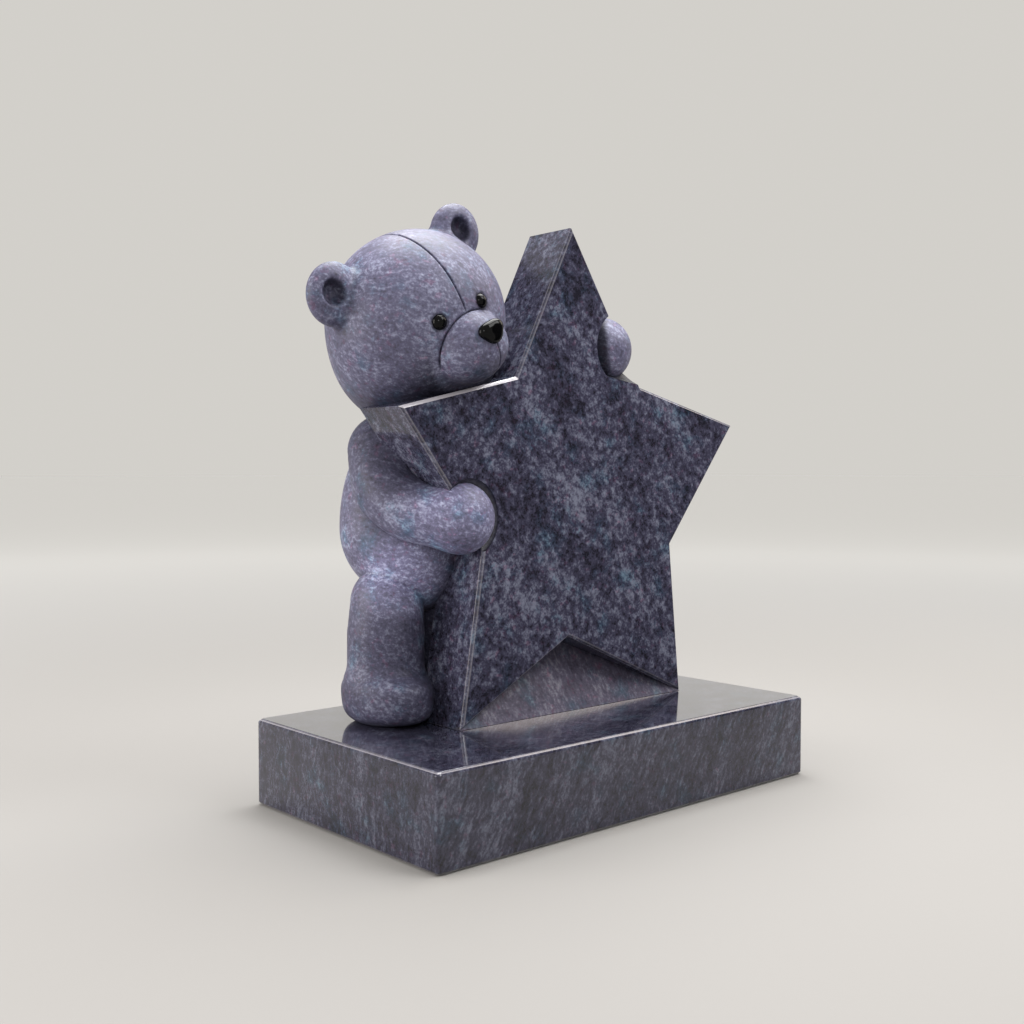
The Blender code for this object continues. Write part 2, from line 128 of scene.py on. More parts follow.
# widths of the rounded corners between forms, and widths and depths of the carved lines
JAW_BLEND = 0.010
MUZZLE_BLEND = 0.0035
EAR_BLEND = 0.010
EAR_RIM = 0.007
BELLY_BLEND = 0.016
ANKLE_BLEND = 0.022
LIMB_BLEND = 0.007
PAW_BLEND = 0.014
NECK_BLEND = 0.006
FOLD_WIDTH = 0.003
FOLD_DEPTH = 0.0016
ANKLE_DEPTH = 0.0008
MUZZLE_LINE_WIDTH = 0.0012
MUZZLE_LINE_DEPTH = 0.0024
MOUTH_DEPTH = 0.0016

# how much is taken off the whole head
HEAD_TRIM = 0.0004

# the round dishes that the eyes sit in: how far out their middles are, their radius and their rim's roundness
EYE_DISH_OUT = 0.0215
EYE_DISH_RADIUS = 0.0240
EYE_DISH_RIM = 0.0015

# painted shade on the bear: how dark the carved lines, hollows, creases and shaded sides are drawn, up to 1
PAINTED_SHADE_SEAM = 0.85
PAINTED_SHADE_MOUTH = 0.9
PAINTED_SHADE_EYE_RIM = 0.85
PAINTED_SHADE_EAR_CREASE = 0.50
PAINTED_SHADE_EAR_HOLLOW = 0.84
PAINTED_SHADE_FOLD = 0.35
PAINTED_SHADE_CORNER = 0.6
PAINTED_SHADE_NEAR_CHIN = 0.9
PAINTED_SHADE_LEE = 0.62
PAINTED_SHADE_LOW = 0.40
PAINTED_SHADE_HEAD = 0.22
PAINTED_SHADE_SCOOP = 0.95

# how far the painted shade reaches: under the chin, its deepest part, in the star's lee, and between head and
# body
CHIN_REACH = 0.095
CHIN_DEEP_REACH = 0.040
LEE_REACH = 0.105
CORNER_REACH = 0.045

# painted light on the bear: the reach and strength of its pale places
PAINTED_LIGHT_CROWN = (0.125, 0.24)
PAINTED_LIGHT_BELLY = (0.070, 1.30)
PAINTED_LIGHT_FOREARM = (0.055, 0.60)
PAINTED_LIGHT_PAW = (0.070, 0.72)

# distances to a limb beyond this one aren't worked out
FAR_FROM_LIMB = 0.05

# the longest move of a point in one round of settling, and how far it goes towards its neighbours' middle
LONGEST_MOVE = 0.004
EVENING = 0.5

# the camera's place, how far it looks down and its turn in degrees
CAMERA_PLACE = (-1.0319, -1.1016, 0.4032)
CAMERA_FALL = 2.078
CAMERA_TURN = -41.664

# half the floor's width, and between which distances it pales
FLOOR_REACH = 60.0
FLOOR_PALES = (0.8, 4.6)

# softboxes that look at the part: place, width, share of the key light's power and colour
LIT_PLACE = (-0.05, 0.0, 0.35)
SOFTBOXES = {
    "overhead": ((0.30, 0.30, 2.3), 1.6, 1.0, "#ffffff"),
    "front": ((0.60, -1.25, 1.90), 1.0, 0.30, "#ffffff"),
    "right": ((1.45, -0.40, 1.55), 0.8, 0.08, "#fff0e0"),
    "left": ((-2.3, 0.95, 0.75), 1.7, 0.66, "#fffaf6"),
    "camera side": ((-1.55, -1.75, 1.2), 0.5, 0.09, "#ffffff"),
}

# dark cards out of the picture: place, the place that it faces, width and height
CARDS = {
    "front card": ((0.64, -0.50, 0.46), (0.64, 0.0, 0.46), 1.20, 0.92),
    "back card": ((-0.62, 0.98, 1.15), (0.0, 0.0, 0.60), 0.7, 0.7),
}

# sides and rows of the surfaces' grids
GRID_AROUND = 96
GRID_ROWS = 64


# settings

def linear(code):
    """A linear colour from an sRGB hex value."""
    values = [int(code[i:i + 2], 16) / 255 for i in (1, 3, 5)]
    return tuple(v / 12.92 if v <= 0.04045 else ((v + 0.055) / 1.055) ** 2.4 for v in values) + (1.0,)


class StoneSettings(bpy.types.PropertyGroup):
    """Colours and finish of the granite."""
    dark: FloatVectorProperty(
        name="Dark mineral", description="Colour of the stone's dark grains", subtype="COLOR", size=3,
        min=0, max=1, default=linear("#1b1a24")[:3])
    middle: FloatVectorProperty(
        name="Ground", description="Colour of most of the stone", subtype="COLOR", size=3, min=0, max=1,
        default=linear("#3a394b")[:3])
    light: FloatVectorProperty(
        name="Light mineral", description="Colour of the feldspar flecks", subtype="COLOR", size=3, min=0,
        max=1, default=linear("#696c7d")[:3])
    polish: FloatProperty(
        name="Polished roughness", description="Roughness of the polished faces", min=0, max=1,
        default=0.11)
    hone: FloatProperty(
        name="Honed roughness", description="Roughness of the bear's honed surface", min=0, max=1,
        default=0.52)


class StarSettings(bpy.types.PropertyGroup):
    """Sizes of the star and the plinth's edges."""
    arris: FloatProperty(
        name="Star arris", description="Width of the star's eased edges", unit="LENGTH", min=0,
        default=0.0036)
    tip: FloatProperty(
        name="Tip radius", description="Radius of the star's tips", unit="LENGTH", min=0, default=0.0010)
    infill_depth: FloatProperty(
        name="Infill depth", description="How far the sloping infill falls back at its top", unit="LENGTH",
        min=0, default=0.062)
    scoop_margin: FloatProperty(
        name="Scoop margin", description="Room worked in the star round the left paw", unit="LENGTH", min=0,
        default=0.009)
    groove: FloatProperty(
        name="Paw groove", description="Width of the groove round the right paw", unit="LENGTH", min=0,
        default=0.0074)
    plinth_arris: FloatProperty(
        name="Plinth arris", description="Width of the plinth's eased edges", unit="LENGTH", min=0,
        default=0.0042)


class BearSettings(bpy.types.PropertyGroup):
    """Sizes of the bear's forms and carved lines."""
    head_radius: FloatProperty(
        name="Head radius", description="Half the head's width", unit="LENGTH", default=0.110)
    head_tilt: FloatProperty(
        name="Head tilt", description="How far the head leans to its right", unit="ROTATION",
        default=math.radians(27.5))
    ear_radius: FloatProperty(
        name="Ear radius", description="Radius of an ear", unit="LENGTH", default=0.0345)
    paw_radius: FloatProperty(
        name="Paw radius", description="Radius of a paw", unit="LENGTH", default=0.038)
    leg_radius: FloatProperty(
        name="Leg radius", description="Radius of a leg", unit="LENGTH", default=0.0455)
    eye_radius: FloatProperty(
        name="Eye radius", description="Radius of an eye", unit="LENGTH", default=0.0094)
    nose_width: FloatProperty(
        name="Nose width", description="Width of the nose", unit="LENGTH", default=0.0330)
    seam_width: FloatProperty(
        name="Seam width", description="Width of the seam over the head", unit="LENGTH", default=0.0016)
    seam_depth: FloatProperty(
        name="Seam depth", description="Depth of the seam over the head", unit="LENGTH", default=0.0028)
    mesh_size: FloatProperty(
        name="Mesh size", description="Spacing of the bear's mesh away from its lines", unit="LENGTH",
        default=0.0034)


class StageSettings(bpy.types.PropertyGroup):
    """Camera, floor and lights."""
    focal: FloatProperty(
        name="Focal length", description="Lens in millimetres on a 36 mm sensor", default=42.476)
    floor: FloatVectorProperty(
        name="Floor", description="Colour of the floor", subtype="COLOR", size=3, min=0, max=1,
        default=linear("#999795")[:3])
    key: FloatProperty(
        name="Key light", description="Power of the overhead softbox in watts", min=0, default=74.0)
    room: FloatProperty(
        name="Room light", description="Strength of the light from all round", min=0, default=0.75)


# surfaces

def closed_surface(rings, first, last):
    """Points and faces of rings of points, a grid of rows by sides, closed by a point at each end."""
    rows, sides, _ = rings.shape
    points = np.vstack([first[None], rings.reshape(-1, 3), last[None]])
    j = np.arange(sides)
    k = (j + 1) % sides
    low = 1 + np.arange(rows - 1)[:, None] * sides
    quads = np.stack([low + j, low + k, low + sides + k, low + sides + j], axis=-1).reshape(-1, 4)
    end = 1 + (rows - 1) * sides
    start_fan = np.stack([np.zeros(sides, int), 1 + k, 1 + j], axis=-1)
    end_fan = np.stack([end + j, end + k, np.full(sides, len(points) - 1)], axis=-1)
    return points, quads.tolist() + start_fan.tolist() + end_fan.tolist()


def put_mesh(name, parts, material=None):
    """An object whose mesh holds the given parts, each a pair of points and faces, and the material."""
    points = []
    faces = []
    count = 0
    for part_points, part_faces in parts:
        points.append(part_points)
        faces += [[count + i for i in face] for face in part_faces]
        count += len(part_points)
    mesh = bpy.data.meshes.new(name)
    mesh.from_pydata(np.vstack(points).tolist(), [], faces)
    mesh.update()
    if material:
        mesh.materials.append(material)
    thing = bpy.data.objects.new(name, mesh)
    bpy.context.scene.collection.objects.link(thing)
    return thing


def egg_surface(centre, radii, axes, top=None, sides=GRID_AROUND, rows=GRID_ROWS):
    """An ellipsoid over turn t and rise s: side*a*cos(s)cos(t) + back*b*cos(s)sin(t) + up*c*sin(s).

    The upper half may have its own height, top."""
    rise = (np.arange(1, rows) / rows - 0.5)[:, None] * math.pi
    turn = (np.arange(sides) / sides)[None, :] * 2 * math.pi
    wide, deep, tall = radii
    height = np.where(rise > 0, top or tall, tall) * np.sin(rise) + 0 * turn
    local = np.stack([wide * np.cos(rise) * np.cos(turn), deep * np.cos(rise) * np.sin(turn), height],
                     axis=-1)
    rings = centre + local @ axes
    return closed_surface(rings, centre - axes[2] * tall, centre + axes[2] * (top or tall))


def smooth_route(stations, steps=8):
    """Catmull-Rom curve through stations of x, y, z and radius."""
    values = np.array(stations, float)
    values = np.vstack([2 * values[0] - values[1], values, 2 * values[-1] - values[-2]])
    t = (np.arange(steps) / steps)[None, :, None]
    a, b, c, d = (values[i:len(values) - 3 + i, None, :] for i in range(4))
    curve = 0.5 * (2 * b + (c - a) * t + (2 * a - 5 * b + 4 * c - d) * t ** 2
                   + (3 * b - a - 3 * c + d) * t ** 3)
    return np.vstack([curve.reshape(-1, 4), values[-2]])


def limb_surface(route, sides=64, cap_rows=10):
    """A circle of changing radius carried along a route, with half a ball on each end."""
    places = route[:, :3]
    radii = route[:, 3]
    tangents = np.gradient(places, axis=0)
    tangents /= np.linalg.norm(tangents, axis=1)[:, None]
    angle = np.arange(1, cap_rows) / cap_rows * math.pi / 2
    back = np.cos(angle)[:, None] * tangents[0] * radii[0]
    ahead = np.cos(angle[::-1])[:, None] * tangents[-1] * radii[-1]
    centres = np.vstack([places[0] - back, places, places[-1] + ahead])
    sizes = np.concatenate([np.sin(angle) * radii[0], radii, np.sin(angle[::-1]) * radii[-1]])
    ways = np.vstack([np.repeat(tangents[:1], cap_rows - 1, 0), tangents,
                      np.repeat(tangents[-1:], cap_rows - 1, 0)])
    side = np.cross(ways[0], [0.3, 0.2, 0.93])
    sides_out = []
    for way in ways:
        side = side - way * (side @ way)
        side = side / np.linalg.norm(side)
        sides_out.append(side)
    one = np.array(sides_out)
    two = np.cross(ways, one)
    turn = (np.arange(sides) / sides * 2 * math.pi)[None, :, None]
    circles = one[:, None] * np.cos(turn) + two[:, None] * np.sin(turn)
    rings = centres[:, None] + sizes[:, None, None] * circles
    return closed_surface(rings, places[0] - tangents[0] * radii[0], places[-1] + tangents[-1] * radii[-1])


def inset_outline(outline, inset):
    """The outline moved inwards: each corner goes to where its two sides cross after moving in."""
    before = outline - np.roll(outline, 1, axis=0)
    before /= np.linalg.norm(before, axis=1)[:, None]
    after = np.roll(before, -1, axis=0)
    inward_before = np.stack([-before[:, 1], before[:, 0]], axis=1)
    inward_after = np.stack([-after[:, 1], after[:, 0]], axis=1)
    middle = inward_before + inward_after
    return outline + middle * (inset * 2 / (middle ** 2).sum(1))[:, None]


def round_corners(outline, radius, steps=4):
    """Each corner becomes steps + 1 points of a parabola that leaves its two sides at the radius from it."""
    before = np.roll(outline, 1, axis=0) - outline
    after = np.roll(outline, -1, axis=0) - outline
    before *= (radius / np.linalg.norm(before, axis=1))[:, None]
    after *= (radius / np.linalg.norm(after, axis=1))[:, None]
    t = (np.arange(steps + 1) / steps)[None, :, None]
    curve = outline[:, None] + before[:, None] * (1 - t) ** 2 + after[:, None] * t ** 2
    return curve.reshape(-1, 2)


def eased_slab(outline, low, high, arris, corner, upright, steps=7, flatness=1.5):
    """A slab with eased edges: an outline carried along a profile that has an arris at each end.

    The arris is 1 - sin(t)^flatness by 1 - cos(t)^flatness: 1 is a quarter circle and 2 a flat chamfer.
    upright slabs stand in the x-z plane between two values of y; the others lie flat between two heights."""
    angle = np.arange(steps + 1) / steps * math.pi / 2
    fall = arris * (1 - np.abs(np.sin(angle)) ** flatness)
    rise = arris * (1 - np.abs(np.cos(angle)) ** flatness)
    insets = np.concatenate([fall, rise])
    levels = np.concatenate([low + rise, high - fall])
    rings = []
    for inset, level in zip(insets, levels):
        flat = round_corners(inset_outline(outline, inset), corner)
        level = np.full((len(flat), 1), level)
        rings.append(np.hstack([flat[:, :1], level, flat[:, 1:]]) if upright else np.hstack([flat, level]))
    rings = np.array(rings)
    if upright:
        rings = rings[:, ::-1]
    rows, sides, _ = rings.shape
    points = rings.reshape(-1, 3)
    j = np.arange(sides)
    k = (j + 1) % sides
    start = np.arange(rows - 1)[:, None] * sides
    quads = np.stack([start + j, start + k, start + sides + k, start + sides + j], axis=-1).reshape(-1, 4)
    return points, quads.tolist() + [j[::-1].tolist(), (j + (rows - 1) * sides).tolist()]


# distances: how far points are from the bear's forms, negative inside

def egg_distance(points, centre, radii, axes, top=None):
    """Distance to an ellipsoid: with a the length of p/r and b that of p/r^2, it is a(a - 1)/b."""
    local = (points - centre) @ axes.T
    shape = np.broadcast_to(np.array(radii, float), local.shape).copy()
    if top:
        shape[:, 2] = np.where(local[:, 2] > 0, top, shape[:, 2])
    a = np.linalg.norm(local / shape, axis=1)
    b = np.linalg.norm(local / shape ** 2, axis=1)
    return a * (a - 1) / np.maximum(b, 1e-6)


def foot_distance(points, centre, radii, squareness=3.4):
    """Distance to a foot, round in plan and squarer in height: with a = (plan^n + |z/c|^n)^(1/n) it is
    |p| * (1 - 1/a)."""
    local = points - centre
    plan = np.hypot(local[:, 0] / radii[0], local[:, 1] / radii[1])
    a = (plan ** squareness + np.abs(local[:, 2] / radii[2]) ** squareness) ** (1 / squareness)
    return np.linalg.norm(local, axis=1) * (1 - 1 / np.maximum(a, 0.05))


def limb_distance(points, route):
    """Distance to a limb: to the nearest point of its route, less the radius there, up to FAR_FROM_LIMB."""
    reach = route[:, 3].max() + FAR_FROM_LIMB
    low, high = route[:, :3].min(0) - reach, route[:, :3].max(0) + reach
    near = np.all((points > low) & (points < high), axis=1)
    close = points[near]
    nearest = np.full(len(close), FAR_FROM_LIMB)
    for start, end in zip(route[:-1], route[1:]):
        along = end[:3] - start[:3]
        t = np.clip((close - start[:3]) @ along / (along @ along), 0, 1)
        gap = np.linalg.norm(close - start[:3] - t[:, None] * along, axis=1)
        nearest = np.minimum(nearest, gap - start[3] - t * (end[3] - start[3]))
    whole = np.full(len(points), FAR_FROM_LIMB)
    whole[near] = nearest
    return whole


def blend_of(a, b, width):
    """Two forms as one: the smaller distance, less width/4 * (1 - |a - b|/width)^2 to fill the corner."""
    near = np.clip(1 - np.abs(a - b) / width, 0, None)
    return np.minimum(a, b) - width / 4 * near ** 2


def cut_from(a, b, width):
    """Form a with form b cut away, and the edge rounded."""
    return -blend_of(-a, b, width)


def line_where_meet(a, b, width):
    """A line that is 1 where two forms meet and fades beside it as exp(-((a - b)/width)^2).

    Distances end at FAR_FROM_LIMB, where they would agree everywhere, so nothing is marked near there."""
    return np.exp(-((a - b) / width) ** 2) * (np.minimum(a, b) < 0.8 * FAR_FROM_LIMB)


def step_up(value, low, high):
    """0 below low, 1 above high, and 3t^2 - 2t^3 between."""
    t = np.clip((value - low) / (high - low), 0, 1)
    return t * t * (3 - 2 * t)


class Bear:
    """The bear's places and forms, worked out from its settings and the star it leans on."""

    def __init__(self, sizes):
        self.sizes = sizes
        self.level = np.eye(3)
        corners = {name: np.array([LEFT_FOOT_X + across, BED_HEIGHT + up])
                   for name, (across, up) in STAR_OUTLINE.items()}
        self.corners = corners
        radius = sizes.head_radius
        nod = math.radians(HEAD_NOD)
        turn = math.radians(HEAD_TURN)
        level = np.array([math.cos(turn), -math.sin(turn), 0.0])
        self.ahead = np.array([-math.sin(turn) * math.cos(nod), -math.cos(turn) * math.cos(nod),
                               -math.sin(nod)])
        crown = np.cross(self.ahead, level)
        self.left = level * math.cos(sizes.head_tilt) + crown * math.sin(sizes.head_tilt)
        self.up = crown * math.cos(sizes.head_tilt) - level * math.sin(sizes.head_tilt)
        self.head_axes = np.array([self.left, -self.ahead, self.up])
        arm_way = corners["left arm"] - corners["left neck"]
        top_way = corners["top"] - corners["left neck"]
        off_arm = np.array([arm_way[1], -arm_way[0]]) / np.linalg.norm(arm_way)
        off_top = np.array([-top_way[1], top_way[0]]) / np.linalg.norm(top_way)
        # the head rests against the side below the star's top, and sinks into the left arm
        seat = np.linalg.solve(np.array([off_arm, off_top]), [radius - HEAD_SINK, radius])
        seat = seat + corners["left neck"]
        self.head = np.array([seat[0], STAR_FRONT + HEAD_BEHIND_STAR_FRONT, seat[1]])
        self.head_radii = radius * np.array(HEAD_SHAPE)
        self.jaw = self.head + JAW_PLACE
        self.muzzle = self.on_head(*MUZZLE_PLACE)
        self.height = self.head[2] - BED_HEIGHT
        self.middle_x = LEFT_FOOT_X - LEG_BESIDE_STAR + LEG_ASIDE
        self.torso = self.body_point(*TORSO_PLACE)
        self.torso_radii = np.array([*TORSO_RADII, TORSO_FALL * self.height])
        self.torso_top = TORSO_RISE * self.height
        self.belly = self.body_point(*BELLY_PLACE)
        self.limbs = self.make_limbs()

    def on_head(self, left, up, ahead):
        """A point in the head's own directions, as shares of its radius."""
        return self.head + (self.left * left + self.up * up + self.ahead * ahead) * self.sizes.head_radius

    def body_point(self, across, behind, up):
        """A point across from the body's middle, behind the star's back and up as a share of its height."""
        return np.array([self.middle_x + across, STAR_BACK + behind, BED_HEIGHT + up * self.height])

    def eye_centre(self, side, sunk):
        """The middle of an eye, sunk in the head."""
        spread = math.radians(EYE_SPREAD - EYE_SPREAD_CHANGE * side)
        rise = math.radians(EYE_RISE - EYE_RISE_CHANGE * side)
        way = np.array([math.sin(spread) * math.cos(rise) * side, -math.cos(spread) * math.cos(rise),
                        math.sin(rise)])
        return self.head + (way * (self.head_radii - sunk)) @ self.head_axes

    def make_limbs(self):
        """Routes of the legs and arms, and places of the feet and paws."""
        paw = self.sizes.paw_radius
        leg = self.sizes.leg_radius
        waist = self.corners["left waist"]
        self.right_paw = np.array([waist[0] - 0.0240, STAR_FRONT + 0.014, waist[1] + 0.0305])
        neck, top = self.corners["right neck"], self.corners["top"]
        edge = neck + (top - neck) / np.linalg.norm(top - neck) * LEFT_PAW_CLIMB
        self.left_paw = np.array([edge[0] + 0.001, (STAR_FRONT + STAR_BACK) / 2, edge[1] - 0.0035])
        self.paw_radii = np.array([paw, paw, 1.08 * paw])
        self.feet = []
        limbs = {}
        for name, across in (("right leg", -LEG_ASIDE), ("left leg", LEG_ASIDE)):
            stand = np.array([self.middle_x + across, STAR_BACK + 0.0275, BED_HEIGHT])
            self.feet.append(stand + np.array([math.copysign(0.0028, across), -0.009, 0.0285]))
            limbs[name] = np.array([[*(stand + [0, 0, 0.095 * self.height]), leg],
                                    [*(stand + [0.0010, 0, 0.22 * self.height]), 1.01 * leg],
                                    [*(stand + [0.0025, 0, 0.30 * self.height]), 0.95 * leg]])
        wrist = self.right_paw + np.array(RIGHT_WRIST_BEHIND_PAW)
        limbs["right arm"] = smooth_route([[*self.body_point(*RIGHT_SHOULDER), SHOULDER_RADIUS],
                                           [*self.body_point(*RIGHT_ELBOW), 1.05 * ARM_RADIUS],
                                           [*self.body_point(*RIGHT_FOREARM), ARM_RADIUS],
                                           [*wrist, 0.93 * ARM_RADIUS],
                                           [*self.right_paw, 0.90 * ARM_RADIUS]], 6)
        shoulder = self.body_point(*LEFT_SHOULDER)
        middle = (shoulder + np.array([self.left_paw[0], shoulder[1], self.left_paw[2]])) / 2
        wrist = np.array([self.left_paw[0] - 0.014, STAR_BACK + 0.010, self.left_paw[2] - 0.006])
        limbs["left arm"] = smooth_route([[*shoulder, SHOULDER_RADIUS], [*middle, 0.93 * ARM_RADIUS],
                                          [*wrist, 0.88 * ARM_RADIUS], [*self.left_paw, 0.90 * ARM_RADIUS]])
        return limbs

    def ear_shapes(self):
        """For each ear its middle, its radii, and the middle and radii of its hollow."""
        radius = self.sizes.ear_radius
        aside, rise, ahead = EAR_PLACE
        shapes = []
        for side in (-1, 1):
            centre = self.on_head(side * aside, rise, ahead)
            # the hollow lies ahead of the ear's middle, further up and to the bear's right
            outward = self.left * (side * 0.0034 - 0.0046) + self.up * 0.0052
            shapes.append((centre - 0.0012 * self.up, (radius, EAR_DEPTH, radius + 0.0014),
                           centre + outward + self.ahead * 0.0165, EAR_HOLLOW_RADII))
        return shapes

    def surfaces(self):
        """The forms as overlapping closed surfaces."""
        axes = self.head_axes
        parts = [egg_surface(self.head, self.head_radii, axes),
                 egg_surface(self.jaw, JAW_RADII, axes),
                 egg_surface(self.muzzle, MUZZLE_RADII, axes, MUZZLE_TOP),
                 egg_surface(self.torso, self.torso_radii, self.level, self.torso_top),
                 egg_surface(self.belly, BELLY_RADII, self.level),
                 egg_surface(self.right_paw, self.paw_radii, self.level),
                 egg_surface(self.left_paw, self.paw_radii, self.level)]
        parts += [egg_surface(foot, FOOT_RADII, self.level) for foot in self.feet]
        parts += [egg_surface(ear[0], ear[1], axes) for ear in self.ear_shapes()]
        parts += [limb_surface(route) for route in self.limbs.values()]
        return parts

    def seam_line(self, points):
        """1 on the head's middle seam, from above the muzzle over the crown to the nape, and 0 beside it."""
        local = (points - self.head) @ self.head_axes.T
        angle = np.degrees(np.arctan2(local[:, 2] / self.head_radii[2], -local[:, 1] / self.head_radii[1]))
        angle = np.where(angle < -90, angle + 360, angle)
        window = step_up(angle, 8, 11) * (1 - step_up(angle, 200, 215))
        place = -0.0012 + 0.0030 * step_up(angle, 5, 45)
        return window * np.exp(-((local[:, 0] - place) / (0.5 * self.sizes.seam_width)) ** 2)

    def mouth_line(self, points):
        """1 on the line that runs down from the nose, with a slight curve, and 0 beside it."""
        local = (points - self.head) @ self.head_axes.T / self.sizes.head_radius
        place = 0.037 - 0.27 * (local[:, 2] + 0.36) ** 2
        window = step_up(local[:, 2], -0.48, -0.42) * (1 - step_up(local[:, 2], -0.16, -0.10))
        window = window * step_up(-local[:, 1], 0.7, 0.8)
        return window * np.exp(-((local[:, 0] - place) / 0.0085) ** 2)

    def under_chin(self, points, reach):
        """The mask of the painted shade under the chin: 1 where the head meets the star's arm, fading as far
        as reach above it and towards its tip.
        """
        start, end = self.corners["left arm"], self.corners["left neck"]
        way = (end - start) / np.linalg.norm(end - start)
        above = (points[:, [0, 2]] - start) @ np.array([-way[1], way[0]])
        across = points[:, 0]
        window = step_up(across, -0.275, -0.195) * (1 - step_up(across, -0.04, 0.0))
        return (1 - step_up(above, 0.0, reach)) * step_up(above, -0.03, -0.01) * window

    def star_gap(self, points):
        """How far points are from the star's slab, and 0 inside it."""
        outline = np.array(list(self.corners.values()))
        flat = points[:, [0, 2]]
        nearest = np.full(len(points), 9.0)
        inside = np.zeros(len(points), bool)
        for start, end in zip(outline, np.roll(outline, -1, axis=0)):
            way = end - start
            t = np.clip((flat - start) @ way / (way @ way), 0, 1)
            nearest = np.minimum(nearest, np.linalg.norm(flat - start - t[:, None] * way, axis=1))
            level = (flat[:, 1] - start[1]) / way[1]
            inside ^= (level >= 0) & (level < 1) & (flat[:, 0] < start[0] + level * way[0])
        behind = np.maximum(np.maximum(STAR_FRONT - points[:, 1], points[:, 1] - STAR_BACK), 0)
        return np.hypot(np.where(inside, 0, nearest), behind)

    def tone(self, points, on_body):
        """Painted shade and light on the bear: how dark it is drawn in the lee of the star, low on the body,
        over the head and where the left paw turns into its scoop, and how pale it is drawn on the crown, the
        belly, the forearm and the right paw."""
        from_paw = np.linalg.norm(points - self.right_paw, axis=1)
        # painted shade in the star's lee, kept off the right paw
        painted_lee_shade = PAINTED_SHADE_LEE * (1 - step_up(self.star_gap(points), 0.0, LEE_REACH))
        painted_lee_shade = painted_lee_shade * step_up(from_paw, 0.038, 0.075)
        # painted shade low on the body, darker towards the bottom
        low = PAINTED_SHADE_LOW * (1 - step_up(points[:, 2] - BED_HEIGHT, 0.11, 0.18))
        # an even painted shade over the head
        painted_lee_shade = np.where(on_body, 1 - (1 - painted_lee_shade) * (1 - low), PAINTED_SHADE_HEAD)
        # painted shade in a crescent where the left paw turns into its scoop, and none from the lee beside it
        paw = (points - self.left_paw) / [0.030, 1.0, 0.044] - [0.2, 0, 0.07]
        from_left_paw = np.linalg.norm(points - self.left_paw, axis=1)
        painted_lee_shade = painted_lee_shade * step_up(from_left_paw, 0.045, 0.06)
        scoop = PAINTED_SHADE_SCOOP * step_up(np.hypot(paw[:, 0], paw[:, 2]), 0.80, 1.02) * (from_left_paw < 0.045)
        # painted light on the crown, the belly, the forearm and the right paw
        pale = np.zeros(len(points))
        crown = self.head + 0.75 * self.up * self.sizes.head_radius
        forearm = self.body_point(-0.050, -0.055, 0.525)
        belly = self.belly + [-0.047, -0.036, -0.020]
        for place, (reach, strength) in ((crown, PAINTED_LIGHT_CROWN), (belly, PAINTED_LIGHT_BELLY), (forearm, PAINTED_LIGHT_FOREARM),
                                         (self.right_paw, PAINTED_LIGHT_PAW)):
            gap = np.linalg.norm(points - place, axis=1)
            pale = np.maximum(pale, strength * (1 - step_up(gap, 0.2 * reach, reach)))
        return np.maximum(painted_lee_shade, scoop), pale

    def distance(self, points, lines=False):
        """Distance to the carved bear. With lines it also gives how near each point is to a fine line and to
        a fold, and the painted shade and light there: how dark or pale the stone is drawn."""
        axes = self.head_axes
        skull = egg_distance(points, self.head, self.head_radii, axes)
        jaw = egg_distance(points, self.jaw, JAW_RADII, axes)
        head = blend_of(skull, jaw, JAW_BLEND) + HEAD_TRIM
        muzzle = egg_distance(points, self.muzzle, MUZZLE_RADII, axes, MUZZLE_TOP)
        aside, _, rise = ((points - self.muzzle) @ axes.T).T
        ring = line_where_meet(head, muzzle, MUZZLE_LINE_WIDTH) * step_up(rise, -0.013, 0.003)
        ring = ring * (1 - step_up(aside, 0.018, 0.036))
        seam = self.seam_line(points)
        mouth = self.mouth_line(points)
        face = blend_of(head, muzzle, MUZZLE_BLEND) + MUZZLE_LINE_DEPTH * ring
        # painted shade in the muzzle line, the seam and the mouth
        dark = np.maximum(np.maximum(ring, PAINTED_SHADE_SEAM * seam), PAINTED_SHADE_MOUTH * mouth)
        for side in (-1, 1):
            centre = self.eye_centre(side, 0.0)
            way = (centre - self.head) / np.linalg.norm(centre - self.head)
            dish = np.linalg.norm(points - centre - way * EYE_DISH_OUT, axis=1) - EYE_DISH_RADIUS
            face = cut_from(face, dish, EYE_DISH_RIM)
            # painted shade round the rim of each eye
            rim = np.linalg.norm(points - centre, axis=1) - self.sizes.eye_radius
            dark = np.maximum(dark, PAINTED_SHADE_EYE_RIM * (1 - step_up(rim, 0.0004, 0.0024)))
        face = face + self.sizes.seam_depth * seam + MOUTH_DEPTH * mouth
        for centre, radii, hollow_at, hollow_radii in self.ear_shapes():
            ear = egg_distance(points, centre, radii, axes)
            hollow = egg_distance(points, hollow_at, hollow_radii, axes)
            ear = cut_from(ear, hollow, EAR_RIM)
            # painted shade in the crease where the ear meets the head
            dark = np.maximum(dark, PAINTED_SHADE_EAR_CREASE * line_where_meet(face, ear, 0.006))
            face = blend_of(face, ear, EAR_BLEND)
